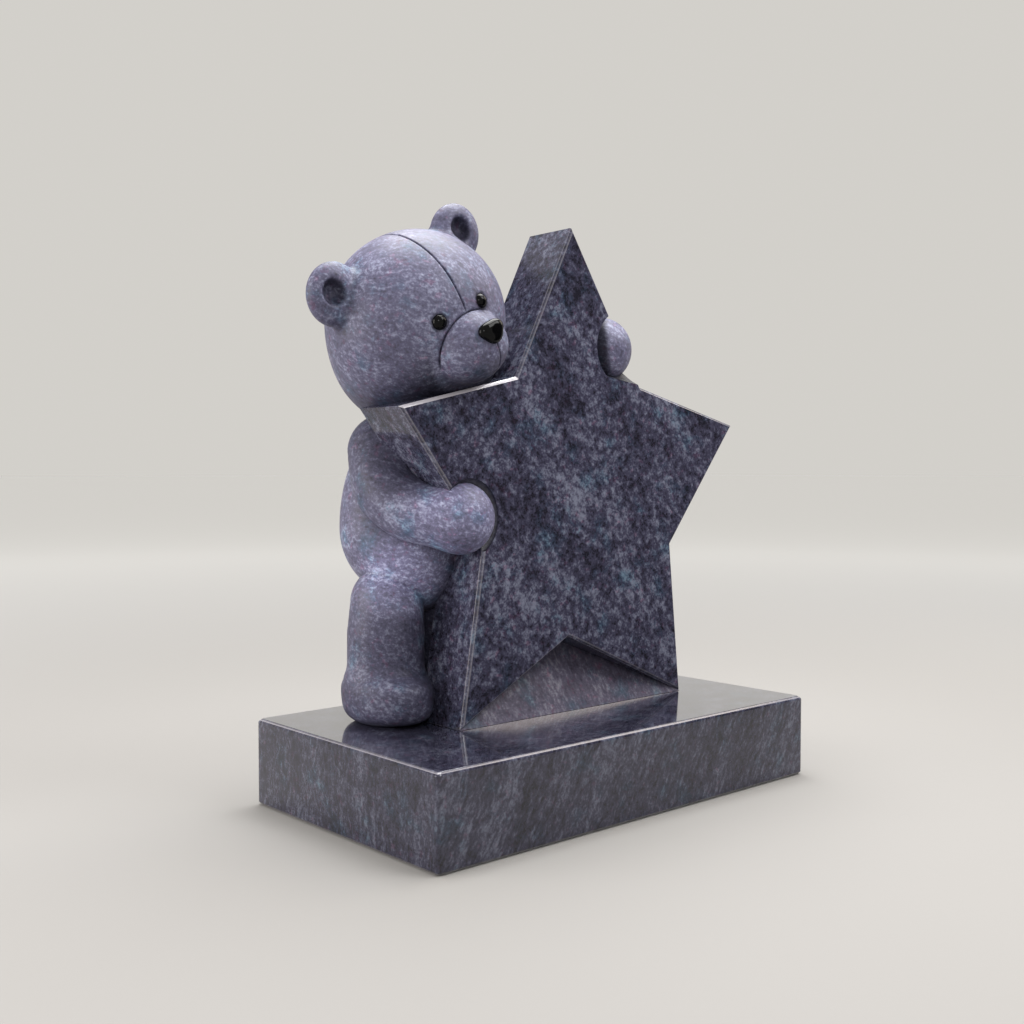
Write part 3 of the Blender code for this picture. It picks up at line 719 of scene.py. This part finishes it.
            # painted shade in the ear's hollow
            dark = np.maximum(dark, PAINTED_SHADE_EAR_HOLLOW * (1 - step_up(hollow, -0.0006, 0.0044)))
        body = egg_distance(points, self.torso, self.torso_radii, self.level, self.torso_top)
        belly = egg_distance(points, self.belly, BELLY_RADII, self.level)
        body = blend_of(body, belly, BELLY_BLEND)
        folds = np.zeros(len(points))
        for name, foot in zip(("right leg", "left leg"), self.feet):
            leg = limb_distance(points, self.limbs[name])
            foot = foot_distance(points, foot, FOOT_RADII)
            ankle = line_where_meet(leg, foot, FOLD_WIDTH)
            leg = blend_of(leg, foot, ANKLE_BLEND) + ANKLE_DEPTH * ankle
            hip = line_where_meet(body, leg, FOLD_WIDTH)
            body = blend_of(body, leg, LIMB_BLEND) + FOLD_DEPTH * hip
            folds = np.maximum(folds, np.maximum(ankle, hip))
        for name, paw in (("right arm", self.right_paw), ("left arm", self.left_paw)):
            arm = limb_distance(points, self.limbs[name])
            arm = blend_of(arm, egg_distance(points, paw, self.paw_radii, self.level), PAW_BLEND)
            fold = line_where_meet(body, arm, FOLD_WIDTH)
            body = blend_of(body, arm, LIMB_BLEND) + FOLD_DEPTH * fold
            folds = np.maximum(folds, fold)
        neck = line_where_meet(face, body, FOLD_WIDTH)
        whole = blend_of(face, body, NECK_BLEND) + FOLD_DEPTH * neck
        whole = np.maximum(whole, BED_HEIGHT - points[:, 2])
        if not lines:
            return whole
        fine = np.maximum(np.maximum(ring, seam), mouth)
        folds = np.maximum(folds, neck)
        # painted shade in the tight corners between head and body
        gap = np.where(body < face, face, body)
        tight = PAINTED_SHADE_CORNER * (1 - step_up(gap, 0.0, CORNER_REACH)) * (np.abs(whole) < 0.002)
        # painted shade under the chin; the muzzle hangs over its darkest part
        chin = self.under_chin(points, CHIN_REACH) * step_up(muzzle - head, -0.002, 0.012)
        chin = np.maximum(chin, PAINTED_SHADE_NEAR_CHIN * self.under_chin(points, CHIN_DEEP_REACH))
        tight = np.maximum(tight, chin)
        # painted shade in the folds
        dark = np.maximum(dark, PAINTED_SHADE_FOLD * folds)
        folds = np.maximum(folds, 0.5 * dark)
        dark = np.maximum(dark, tight)
        # painted shade in the star's lee and painted light on the pale places, under the painted shade of the
        # lines, hollows and corners
        painted_lee_shade, pale = self.tone(points, body < face)
        return whole, fine, folds, np.maximum(dark, painted_lee_shade) - pale * (1 - dark)

    def slope(self, points, reach=0.0003):
        """The distance's gradient, from four points round each one."""
        total = np.zeros_like(points)
        for way in np.array([[1, -1, -1], [-1, -1, 1], [-1, 1, -1], [1, 1, 1]], float):
            total += self.distance(points + reach * way)[:, None] * way
        return total / (4 * reach)


# from surfaces to finished pieces

def evaluated_mesh(thing):
    """The object's mesh as its modifiers leave it."""
    graph = bpy.context.evaluated_depsgraph_get()
    mesh = bpy.data.meshes.new_from_object(thing.evaluated_get(graph))
    thing.modifiers.clear()
    thing.data = mesh


def merge_forms(thing, size):
    """Overlapping closed surfaces become one closed skin of small squares."""
    remesh = thing.modifiers.new("one skin", "REMESH")
    remesh.mode = "VOXEL"
    remesh.voxel_size = size
    evaluated_mesh(thing)


def points_of(mesh):
    """The mesh's points as an array."""
    values = np.empty(len(mesh.vertices) * 3, np.float32)
    mesh.vertices.foreach_get("co", values)
    return values.reshape(-1, 3).astype(float)


def settle(mesh, bear, rounds):
    """Move the points on to the carved surface, and spread them evenly along it."""
    points = points_of(mesh)
    edges = np.empty(len(mesh.edges) * 2, np.int32)
    mesh.edges.foreach_get("vertices", edges)
    edges = edges.reshape(-1, 2)
    ends = np.concatenate([edges[:, 0], edges[:, 1]])
    others = np.concatenate([edges[:, 1], edges[:, 0]])
    count = np.bincount(ends, minlength=len(points))[:, None]
    normals = None
    for round_number in range(rounds):
        slope = bear.slope(points)
        square = np.maximum((slope ** 2).sum(1), 0.2)[:, None]
        move = -bear.distance(points)[:, None] * slope / square
        length = np.linalg.norm(move, axis=1)[:, None]
        points = points + move * np.minimum(1, LONGEST_MOVE / np.maximum(length, 1e-9))
        normals = slope / np.maximum(np.linalg.norm(slope, axis=1)[:, None], 1e-9)
        if round_number < rounds - 2:
            sums = np.stack([np.bincount(ends, points[others, axis], len(points)) for axis in range(3)],
                            axis=1)
            drift = sums / count - points
            drift -= normals * (drift * normals).sum(1)[:, None]
            points = points + EVENING * drift
        points[:, 2] = np.maximum(points[:, 2], BED_HEIGHT)
    mesh.vertices.foreach_set("co", points.astype(np.float32).ravel())
    mesh.update()
    return normals


def refine(mesh, weights, limit):
    """Split the faces near the carved lines, where the mean weight of an edge is over the limit."""
    shape = bmesh.new()
    shape.from_mesh(mesh)
    shape.verts.ensure_lookup_table()
    chosen = [edge for edge in shape.edges
              if weights[edge.verts[0].index] + weights[edge.verts[1].index] > 2 * limit]
    bmesh.ops.subdivide_edges(shape, edges=chosen, cuts=1, use_grid_fill=True)
    bmesh.ops.triangulate(shape, faces=shape.faces)
    shape.to_mesh(mesh)
    shape.free()
    mesh.update()


def paint_arris_highlights(mesh, ends, arris, peaks, strength, bright=None):
    """Give the faces a painted highlight along the arrises, which peaks at shares of the arris' width from
    each end of the slab.

    ends are the axis across the slab and its two levels, and bright is the start and end of a side of the
    outline whose front arris carries the painted highlight all over."""
    axis, low, high = ends
    centres = np.empty(len(mesh.polygons) * 3, np.float32)
    mesh.polygons.foreach_get("center", centres)
    centres = centres.reshape(-1, 3).astype(float)
    level = centres[:, axis]
    share = np.clip(np.minimum(level - low, high - level) / arris, 0, 1)
    mark = strength * sum(np.exp(-((share - peak) / 0.13) ** 2) for peak in peaks)
    if bright:
        start, end = bright
        way = end - start
        t = np.clip((centres[:, [0, 2]] - start) @ way / (way @ way), 0, 1)
        gap = np.linalg.norm(centres[:, [0, 2]] - start - t[:, None] * way, axis=1)
        mark[(gap < 1.3 * arris) & (level - low < arris)] = 1
    mark[(share < 0.001) | (share > 0.999)] = 0
    mesh.attributes.new("arris", "FLOAT", "FACE").data.foreach_set("value", mark.astype(np.float32))


def cut_away(thing, tool):
    """Cut a closed tool from the object, give the cut the tool's material, and remove the tool."""
    step = thing.modifiers.new("cut", "BOOLEAN")
    step.material_mode = "TRANSFER"
    step.operation = "DIFFERENCE"
    step.solver = "EXACT"
    step.object = tool
    evaluated_mesh(thing)
    bpy.data.objects.remove(tool, do_unlink=True)


def shade(mesh, sharp_over):
    """Smooth shading, with creases where faces turn by more than the angle."""
    mesh.shade_smooth()
    mesh.set_sharp_from_angle(angle=math.radians(sharp_over))


def keep_faces_flat(thing):
    """Weigh the normals by area, so that flat polished faces mirror as flat ones beside their eased edges."""
    step = thing.modifiers.new("flat faces", "WEIGHTED_NORMAL")
    step.mode = "FACE_AREA"
    step.weight = 100
    step.keep_sharp = True


def finish_piece(thing, slot, *nodes):
    """Tie the piece to the frame, in place of its nodes."""
    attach(thing, "root")
    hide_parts(*nodes)


# materials

# how far and over what length the granite's grain wanders, and the size of its single crystals
GRAIN_DRIFT = 0.018
GRAIN_DRIFT_LENGTH = 1 / 14
CRYSTAL_SIZE = 1 / 420
# what the stone's colour is multiplied by where it is teal and where it is rosy
TEAL_CAST = (0.62, 1.12, 1.12, 1.0)
GARNET_CAST = (1.35, 0.74, 0.84, 1.0)


def add(tree, kind, inputs=None, stops=None, **settings):
    """Add a node, set its settings and colour stops, and give its inputs values or links."""
    node = tree.nodes.new(kind)
    for key, value in settings.items():
        setattr(node, key, value)
    if stops:
        ramp = node.color_ramp.elements
        while len(ramp) < len(stops):
            ramp.new(0.5)
        for element, (place, colour) in zip(ramp, stops):
            element.position = place
            element.color = colour
    for key, value in (inputs or {}).items():
        if isinstance(value, bpy.types.NodeSocket):
            tree.links.new(value, node.inputs[key])
        else:
            node.inputs[key].default_value = value
    return node


def new_material(name):
    """A material with an empty node tree, and the tree."""
    material = bpy.data.materials.new(name)
    material.use_nodes = True
    material.node_tree.nodes.clear()
    return material, material.node_tree


def granite(name, stone, grain, sizes, lift, contrast, roughness, wax=False, painted_shade_and_light=False, arris=False,
            tint=(1.0, 1.0, 1.0)):
    """Blue-grey granite: dark mica and hornblende in a lavender-grey ground, with feldspar flecks.

    grain turns the grain in degrees, and sizes are a fleck's length, width and thickness in metres. lift
    makes the surface paler, as honing does, and tint colours it. wax is a gloss that shows at a low angle.
    The mesh's attribute of painted shade and light darkens the stone with painted shade, in the hollows,
    creases and shaded sides, or below 0 makes it paler with painted light. Its arris attribute makes it paler
    with a painted highlight along the eased edges."""
    material, tree = new_material(name)
    place = add(tree, "ShaderNodeTexCoord").outputs["Object"]
    # the grain wanders by a few millimetres, over lengths of 70 mm
    drift = add(tree, "ShaderNodeTexNoise",
                {"Vector": place, "Scale": 1 / GRAIN_DRIFT_LENGTH, "Detail": 3.0, "Roughness": 0.6})
    centred = add(tree, "ShaderNodeVectorMath", {0: drift.outputs["Color"], 1: (0.5, 0.5, 0.5)},
                  operation="SUBTRACT")
    pull = add(tree, "ShaderNodeVectorMath", {0: centred.outputs[0], "Scale": GRAIN_DRIFT}, operation="SCALE")
    moved = add(tree, "ShaderNodeVectorMath", {0: place, 1: pull.outputs[0]}, operation="ADD")
    turned = add(tree, "ShaderNodeMapping", {"Vector": moved.outputs[0],
                                             "Rotation": tuple(math.radians(angle) for angle in grain)})
    squeezed = add(tree, "ShaderNodeMapping", {"Vector": turned.outputs[0],
                                               "Scale": tuple(1 / size for size in sizes)})
    fleck = add(tree, "ShaderNodeTexNoise", {"Vector": squeezed.outputs[0], "Scale": 1.0, "Detail": 4.0,
                                             "Roughness": 0.62})
    # bands of paler and darker stone, about 14 flecks long and 6 wide
    stretched = add(tree, "ShaderNodeMapping", {"Vector": squeezed.outputs[0], "Scale": (0.07, 0.16, 0.16)})
    band = add(tree, "ShaderNodeTexNoise", {"Vector": stretched.outputs[0], "Scale": 1.0, "Detail": 4.0,
                                            "Roughness": 0.6})
    # single crystals, which are also what the polish leaves uneven
    speck = add(tree, "ShaderNodeTexNoise",
                {"Vector": place, "Scale": 1 / CRYSTAL_SIZE, "Detail": 2.0, "Roughness": 0.6})
    # the constant and the three patterns' shares give a mean just under 0.5, the middle of the colours
    blend = -0.02
    for pattern, share in ((band, 0.34), (fleck, 0.46), (speck, 0.22)):
        blend = add(tree, "ShaderNodeMath", {0: pattern.outputs["Fac"], 1: share, 2: blend},
                    operation="MULTIPLY_ADD").outputs[0]
    dark, middle, light = (tuple(min(1.0, c * lift * t) for c, t in zip(colour, tint)) + (1.0,)
                           for colour in (stone.dark, stone.middle, stone.light))
    spread = 0.095 / contrast
    colour = add(tree, "ShaderNodeValToRGB", {"Fac": blend},
                 stops=[(0.5 - spread, dark), (0.5, middle), (0.5 + spread, light)])
    face = colour.outputs["Color"]
    # patches of teal feldspar 33 mm across, and rosy grains of garnet 8 mm across
    teal = add(tree, "ShaderNodeTexNoise",
               {"Vector": moved.outputs[0], "Scale": 30.0, "Detail": 4.0, "Roughness": 0.7})
    garnet = add(tree, "ShaderNodeTexNoise", {"Vector": place, "Scale": 120.0, "Detail": 2.0})
    for patch, start, most, cast in ((teal, 0.53, 0.75, TEAL_CAST), (garnet, 0.60, 0.55, GARNET_CAST)):
        share = add(tree, "ShaderNodeMapRange",
                    {"Value": patch.outputs["Fac"], "From Min": start, "From Max": 0.70, "To Max": most})
        face = add(tree, "ShaderNodeMix", {"Factor": share.outputs[0], 6: face, 7: cast}, data_type="RGBA",
                   blend_type="MULTIPLY").outputs[2]
    shine = 0.5
    # the attribute of painted shade and light: painted shade darkens the colour and dims the shine, and below
    # 0 painted light makes it paler
    if painted_shade_and_light:
        mark = add(tree, "ShaderNodeAttribute", attribute_name="painted_shade_and_light").outputs["Fac"]
        tone = add(tree, "ShaderNodeMapRange", {"Value": mark, "To Min": 1.0, "To Max": 0.14}, clamp=False)
        face = add(tree, "ShaderNodeVectorMath", {0: face, "Scale": tone.outputs[0]},
                   operation="SCALE").outputs[0]
        shine = add(tree, "ShaderNodeMapRange", {"Value": mark, "To Min": 0.40, "To Max": 0.05}).outputs[0]
    # a painted highlight along the eased edges
    if arris:
        mark = add(tree, "ShaderNodeAttribute", attribute_name="arris").outputs["Fac"]
        face = add(tree, "ShaderNodeMix", {"Factor": mark, 6: face, 7: linear("#b4b0b8")},
                   data_type="RGBA").outputs[2]
    wear = add(tree, "ShaderNodeMapRange", {"Value": speck.outputs["Fac"], "From Min": 0.3, "From Max": 0.7,
                                            "To Min": 0.85 * roughness, "To Max": 1.15 * roughness})
    bump = add(tree, "ShaderNodeBump", {"Height": speck.outputs["Fac"], "Strength": 0.12 * roughness,
                                        "Distance": 0.0004})
    gloss = 0.0
    if wax:
        facing = add(tree, "ShaderNodeLayerWeight", {"Blend": 0.5}).outputs["Facing"]
        gloss = add(tree, "ShaderNodeMapRange",
                    {"Value": facing, "From Min": 0.45, "From Max": 0.75}).outputs[0]
    shader = add(tree, "ShaderNodeBsdfPrincipled", {"Base Color": face, "Roughness": wear.outputs[0],
                                                    "IOR": 1.54, "Specular IOR Level": shine,
                                                    "Coat Weight": gloss, "Coat Roughness": 0.05,
                                                    "Coat IOR": 1.9, "Normal": bump.outputs[0]})
    add(tree, "ShaderNodeOutputMaterial", {"Surface": shader.outputs[0]})
    return material


def black_stone():
    """Jet-black stone for the eyes and nose, polished like glass: nearly a mirror, with an uneven gloss."""
    material, tree = new_material("polished black stone")
    place = add(tree, "ShaderNodeTexCoord").outputs["Object"]
    # the polish's unevenness, drawn 1.1 mm across, which is coarser than the grit that makes it
    grit = add(tree, "ShaderNodeTexNoise", {"Vector": place, "Scale": 900.0, "Detail": 2.0})
    wear = add(tree, "ShaderNodeMapRange", {"Value": grit.outputs["Fac"], "To Min": 0.03, "To Max": 0.09})
    colour = add(tree, "ShaderNodeValToRGB", {"Fac": grit.outputs["Fac"]},
                 stops=[(0.3, linear("#030304")), (0.8, linear("#09090b"))])
    shader = add(tree, "ShaderNodeBsdfPrincipled", {"Base Color": colour.outputs["Color"],
                                                    "Roughness": wear.outputs[0], "IOR": 1.36,
                                                    "Specular IOR Level": 0.24})
    add(tree, "ShaderNodeOutputMaterial", {"Surface": shader.outputs[0]})
    return material


# operators

class HEADSTONE_OT_plinth(bpy.types.Operator):
    """Make the polished plinth slab with eased edges"""
    bl_idname = "headstone.plinth"
    bl_label = "Plinth"

    def execute(self, context):
        scene = context.scene
        (x0, y0, z0), (x1, y1, z1) = PLINTH_LOW, PLINTH_HIGH
        outline = np.array([[x0, y0], [x1, y0], [x1, y1], [x0, y1]])
        arris = scene.headstone_star.plinth_arris
        settings = scene.headstone_stone
        # sawn, polished to a mirror and waxed: dark seen square on, and pale where it is seen at a low angle
        stone = granite("polished plinth granite", settings, grain=(0, 63, 0), sizes=(0.012, 0.0050, 0.0050),
                        lift=0.82, contrast=0.74, roughness=settings.polish, wax=True, arris=True)
        slab = put_mesh("plinth_slab", [eased_slab(outline, z0, z1, arris, 1.2 * arris, False)], stone)
        # a painted highlight along the plinth's top and bottom arrises
        paint_arris_highlights(slab.data, (2, z0, z1), arris, (0.35,), 0.6)
        shade(slab.data, 40)
        keep_faces_flat(slab)
        finish_piece(slab, "polished_granite", "plinth")
        return {"FINISHED"}


class HEADSTONE_OT_star(bpy.types.Operator):
    """Make the polished star, its sloping infill, and the hollows worked round the two paws"""
    bl_idname = "headstone.star"
    bl_label = "Star"

    def execute(self, context):
        scene = context.scene
        sizes = scene.headstone_star
        bear = Bear(scene.headstone_bear)
        corners = bear.corners
        outline = np.array(list(corners.values()))
        stone = scene.headstone_stone
        # polished to a mirror: the darkest and deepest of the stone's colours
        polished = granite("polished star granite", stone, grain=(0, -42, 0), sizes=(0.0090, 0.0080, 0.0080),
                           lift=1.14, contrast=0.90, roughness=stone.polish, arris=True)
        # ground out by hand and never polished: dull, and drawn dark because little light reaches it
        worked = granite("worked hollow granite", stone, grain=(17.2, 11.5, 22.9),
                         sizes=(0.0085, 0.0072, 0.0062), lift=0.45, contrast=0.6, roughness=0.45)
        # polished less finely: greyer, with long soft flecks that run up the slope. Its warm tint is a
        # painted warm reflection.
        pale = granite("polished infill granite", stone, grain=(0, 88, 0), sizes=(0.024, 0.0060, 0.0060),
                       lift=2.05, contrast=0.40, roughness=1.6 * stone.polish, tint=(1.05, 0.98, 0.84))
        slab = eased_slab(outline, STAR_FRONT, STAR_BACK, sizes.arris, sizes.tip, True)
        star = put_mesh("star", [slab], polished)
        # a painted highlight along the star's arrises, full on the front arris of the left arm's top edge
        paint_arris_highlights(star.data, (1, STAR_FRONT, STAR_BACK), sizes.arris, (0.12, 0.88), 0.22,
                     (corners["left arm"], corners["left neck"]))
        radius = scene.headstone_bear.paw_radius + sizes.scoop_margin
        start = bear.left_paw + np.array([-0.001, STAR_FRONT - 0.004 - bear.left_paw[1], -0.0005])
        # the scoop's lower side runs out along the top of the star's right arm
        way = corners["right arm"] - corners["right neck"]
        way = way / np.linalg.norm(way)
        end = corners["right neck"] + 0.0155 * np.array([-way[1], way[0]]) + 0.006 * way
        route = np.array([[*start, radius], [end[0], start[1], end[1], 0.0150]])
        cut_away(star, put_mesh("scoop", [limb_surface(smooth_route(route, 6), 96, 24)], worked))
        lens = bear.right_paw * [1, 0, 1] + [0.0030, STAR_FRONT, 0.0005]
        wide = 0.93 * bear.paw_radii[0] + sizes.groove
        tall = 0.93 * bear.paw_radii[2] + sizes.groove
        groove = egg_surface(lens, (wide, 1.5 * sizes.groove, tall), bear.level)
        cut_away(star, put_mesh("groove", [groove], worked))
        shade(star.data, 32)
        keep_faces_flat(star)
        finish_piece(star, "carved_granite", "bear_and_star")
        infill = put_mesh("infill", [self.infill(corners, sizes.infill_depth)], pale)
        finish_piece(infill, "carved_granite", "bear_and_star")
        return {"FINISHED"}

    def infill(self, corners, depth):
        """A closed wedge between the star's feet: its front slopes back from the foot to the top."""
        lip = 0.0015
        overlap = np.array([0.0, 0.0008])
        flat = [corners["left foot"], corners["right foot"], corners["crotch"] + overlap]
        fronts = [STAR_FRONT + lip, STAR_FRONT + lip, STAR_FRONT + depth]
        points = [[p[0], y, p[1]] for p, y in zip(flat, fronts)]
        points += [[p[0], STAR_BACK - 0.006, p[1]] for p in flat]
        faces = [[0, 1, 2], [5, 4, 3], [0, 3, 4, 1], [1, 4, 5, 2], [2, 5, 3, 0]]
        return np.array(points), faces


class HEADSTONE_OT_bear(bpy.types.Operator):
    """Make the honed bear: one skin over all its forms, with the carved seam, muzzle line and folds"""
    bl_idname = "headstone.bear"
    bl_label = "Bear"

    def execute(self, context):
        scene = context.scene
        sizes = scene.headstone_bear
        bear = Bear(sizes)
        thing = put_mesh("bear", bear.surfaces())
        merge_forms(thing, sizes.mesh_size)
        mesh = thing.data
        if len(mesh.polygons) == 0:
            raise RuntimeError("the bear has no faces")
        settle(mesh, bear, 5)
        # three rounds of splitting: near the folds and the fine lines, then twice near the fine lines alone
        _, fine, folds, _ = bear.distance(points_of(mesh), lines=True)
        refine(mesh, np.maximum(10 * fine, folds), 0.28)
        for limit in (0.03, 0.09):
            settle(mesh, bear, 3)
            _, fine, _, _ = bear.distance(points_of(mesh), lines=True)
            refine(mesh, fine, limit)
        normals = settle(mesh, bear, 4)
        # painted shade in the carved lines, hollows, creases and lee, and painted light on the pale places,
        # kept on the points
        dark = bear.distance(points_of(mesh), lines=True)[3]
        painted_shade_and_light = mesh.attributes.new("painted_shade_and_light", "FLOAT", "POINT")
        painted_shade_and_light.data.foreach_set("value", dark.astype(np.float32))
        shade(mesh, 180)
        mesh.normals_split_custom_set_from_vertices(normals.tolist())
        stone = scene.headstone_stone
        # honed with soft pads: satin, and much paler than the polished star, as unpolished granite is
        mesh.materials.append(granite("honed bear granite", stone, grain=(8.6, -25, 40.1),
                                      sizes=(0.0062, 0.0046, 0.0040), lift=2.75, contrast=0.52,
                                      roughness=stone.hone, painted_shade_and_light=True))
        finish_piece(thing, "carved_granite", "bear_and_star")
        return {"FINISHED"}


class HEADSTONE_OT_insets(bpy.types.Operator):
    """Make the eyes and the nose of polished black stone"""
    bl_idname = "headstone.insets"
    bl_label = "Eyes and nose"

    def execute(self, context):
        sizes = context.scene.headstone_bear
        bear = Bear(sizes)
        black = black_stone()
        radius = sizes.eye_radius
        for name, node, side in (("eye_right_dome", "eye_right", -1), ("eye_left_dome", "eye_left", 1)):
            centre = bear.eye_centre(side, radius - EYE_STANDS_OUT)
            ball = egg_surface(centre, (radius,) * 3, bear.head_axes, sides=48, rows=32)
            dome = put_mesh(name, [ball], black)
            shade(dome.data, 180)
            finish_piece(dome, "black_stone", node)
        nose = put_mesh("nose_inset", [self.nose_surface(bear, sizes.nose_width)], black)
        shade(nose.data, 180)
        finish_piece(nose, "black_stone", "nose")
        return {"FINISHED"}

    def nose_surface(self, bear, width, rows=28, sides=64):
        """A rounded triangle, wide at the top, over lift s and turn t, leaning back as the muzzle does.

        Its reach in the nose's plane goes as (1 + 0.1 sin 3t) * sin(s)^0.6, and its depth goes as cos(s)."""
        lift = (np.arange(1, rows) / rows * math.pi)[:, None]
        turn = (np.arange(sides) / sides * 2 * math.pi)[None, :]
        spread = np.sin(lift) ** 0.6 * (1 + 0.10 * np.sin(3 * turn))
        centre = bear.on_head(*NOSE_PLACE)
        lean = math.radians(NOSE_LEAN)
        ahead = bear.ahead * math.cos(lean) + bear.up * math.sin(lean)
        axes = np.array([bear.left, -ahead, np.cross(bear.left, -ahead)])
        local = np.stack([width / 2 * spread * np.cos(turn), NOSE_DEPTH * np.cos(lift) + 0 * turn,
                          NOSE_HALF_HEIGHT * spread * np.sin(turn)], axis=-1)
        half = ahead * NOSE_DEPTH
        return closed_surface(centre + local @ axes, centre - half, centre + half)


class HEADSTONE_OT_stage(bpy.types.Operator):
    """Set the camera, the plain pale floor and the soft studio light"""
    bl_idname = "headstone.stage"
    bl_label = "Stage"

    def execute(self, context):
        scene = context.scene
        stage = scene.headstone_stage
        data = bpy.data.cameras.new("camera")
        data.sensor_width = 36.0
        data.lens = stage.focal
        camera = bpy.data.objects.new("camera", data)
        camera.location = CAMERA_PLACE
        camera.rotation_euler = (math.radians(90 - CAMERA_FALL), 0.0, math.radians(CAMERA_TURN))
        scene.collection.objects.link(camera)
        scene.camera = camera
        # a painted studio floor, which gives soft contact shadows and hardly a shine
        ground, tree = new_material("matt pale floor")
        place = add(tree, "ShaderNodeTexCoord").outputs["Object"]
        away = add(tree, "ShaderNodeVectorMath", {0: place}, operation="LENGTH")
        # the floor pales with distance, so that it runs into the room with no line
        far = add(tree, "ShaderNodeMapRange",
                  {"Value": away.outputs["Value"], "From Min": FLOOR_PALES[0], "From Max": FLOOR_PALES[1]},
                  interpolation_type="SMOOTHSTEP")
        pale = add(tree, "ShaderNodeMix", {"Factor": far.outputs[0], 6: (*stage.floor, 1.0),
                                           7: linear("#ffffff")}, data_type="RGBA")
        shader = add(tree, "ShaderNodeBsdfPrincipled", {"Base Color": pale.outputs[2], "Roughness": 0.9,
                                                        "Specular IOR Level": 0.2})
        add(tree, "ShaderNodeOutputMaterial", {"Surface": shader.outputs[0]})
        floor = put_mesh("floor", [self.sheet(FLOOR_REACH, FLOOR_REACH)], ground)
        world = scene.world or bpy.data.worlds.new("room")
        scene.world = world
        world.use_nodes = True
        light = world.node_tree.nodes["Background"]
        light.inputs["Color"].default_value = linear("#efece6")
        light.inputs["Strength"].default_value = stage.room
        for name, (place, size, share, colour) in SOFTBOXES.items():
            self.softbox(name, place, size, share * stage.key, colour)
        for name, (place, target, wide, tall) in CARDS.items():
            self.card(name, place, target, wide, tall)
        scene.view_settings.view_transform = "Standard"
        return {"FINISHED"}

    def sheet(self, across, up):
        """A level rectangle round the origin that faces up, of half width across and half height up."""
        corners = np.array([[-across, -up, 0], [across, -up, 0], [across, up, 0], [-across, up, 0]])
        return corners, [[0, 1, 2, 3]]

    def card(self, name, place, target, wide, tall):
        """A dark card out of the picture, which keeps the room's light off a polished face."""
        corners, faces = self.sheet(wide / 2, tall / 2)
        turn = (Vector(target) - Vector(place)).to_track_quat("-Z", "Y").to_matrix()
        # woven cloth, which mirrors nothing
        cloth, tree = new_material("matt dark cloth")
        shader = add(tree, "ShaderNodeBsdfPrincipled", {"Base Color": linear("#2a2a2c"), "Roughness": 1.0})
        add(tree, "ShaderNodeOutputMaterial", {"Surface": shader.outputs[0]})
        card = put_mesh(name, [(corners @ np.array(turn).T + np.array(place), faces)], cloth)
        card.visible_camera = False
        card.visible_shadow = False
        card.visible_diffuse = False

    def softbox(self, name, place, size, power, colour):
        """A square area light that looks at the part."""
        data = bpy.data.lights.new(name, "AREA")
        data.size = size
        data.energy = power
        data.color = linear(colour)[:3]
        box = bpy.data.objects.new(name, data)
        box.location = place
        box.rotation_euler = (Vector(LIT_PLACE) - Vector(place)).to_track_quat("-Z", "Y").to_euler()
        bpy.context.scene.collection.objects.link(box)


class HEADSTONE_PT_panel(bpy.types.Panel):
    """The headstone's pieces and settings"""
    bl_idname = "HEADSTONE_PT_panel"
    bl_label = "Headstone"
    bl_space_type = "VIEW_3D"
    bl_region_type = "UI"
    bl_category = "Headstone"

    def draw(self, context):
        for operator in OPERATORS:
            self.layout.operator(operator.bl_idname)
        for group in ("headstone_stone", "headstone_star", "headstone_bear", "headstone_stage"):
            settings = getattr(context.scene, group)
            for name in settings.__annotations__:
                self.layout.prop(settings, name)


OPERATORS = (HEADSTONE_OT_plinth, HEADSTONE_OT_star, HEADSTONE_OT_bear, HEADSTONE_OT_insets,
             HEADSTONE_OT_stage)
GROUPS = {"headstone_stone": StoneSettings, "headstone_star": StarSettings, "headstone_bear": BearSettings,
          "headstone_stage": StageSettings}


def register():
    """Add the settings, operators and panel."""
    for name, group in GROUPS.items():
        bpy.utils.register_class(group)
        setattr(bpy.types.Scene, name, PointerProperty(type=group))
    for kind in (*OPERATORS, HEADSTONE_PT_panel):
        bpy.utils.register_class(kind)


def unregister():
    """Take the settings, operators and panel away."""
    for kind in (HEADSTONE_PT_panel, *reversed(OPERATORS)):
        bpy.utils.unregister_class(kind)
    for name, group in GROUPS.items():
        delattr(bpy.types.Scene, name)
        bpy.utils.unregister_class(group)


def main():
    """Make every piece and the stage."""
    register()
    bpy.ops.headstone.plinth()
    bpy.ops.headstone.star()
    bpy.ops.headstone.bear()
    bpy.ops.headstone.insets()
    bpy.ops.headstone.stage()


if __name__ == "__main__":
    main()
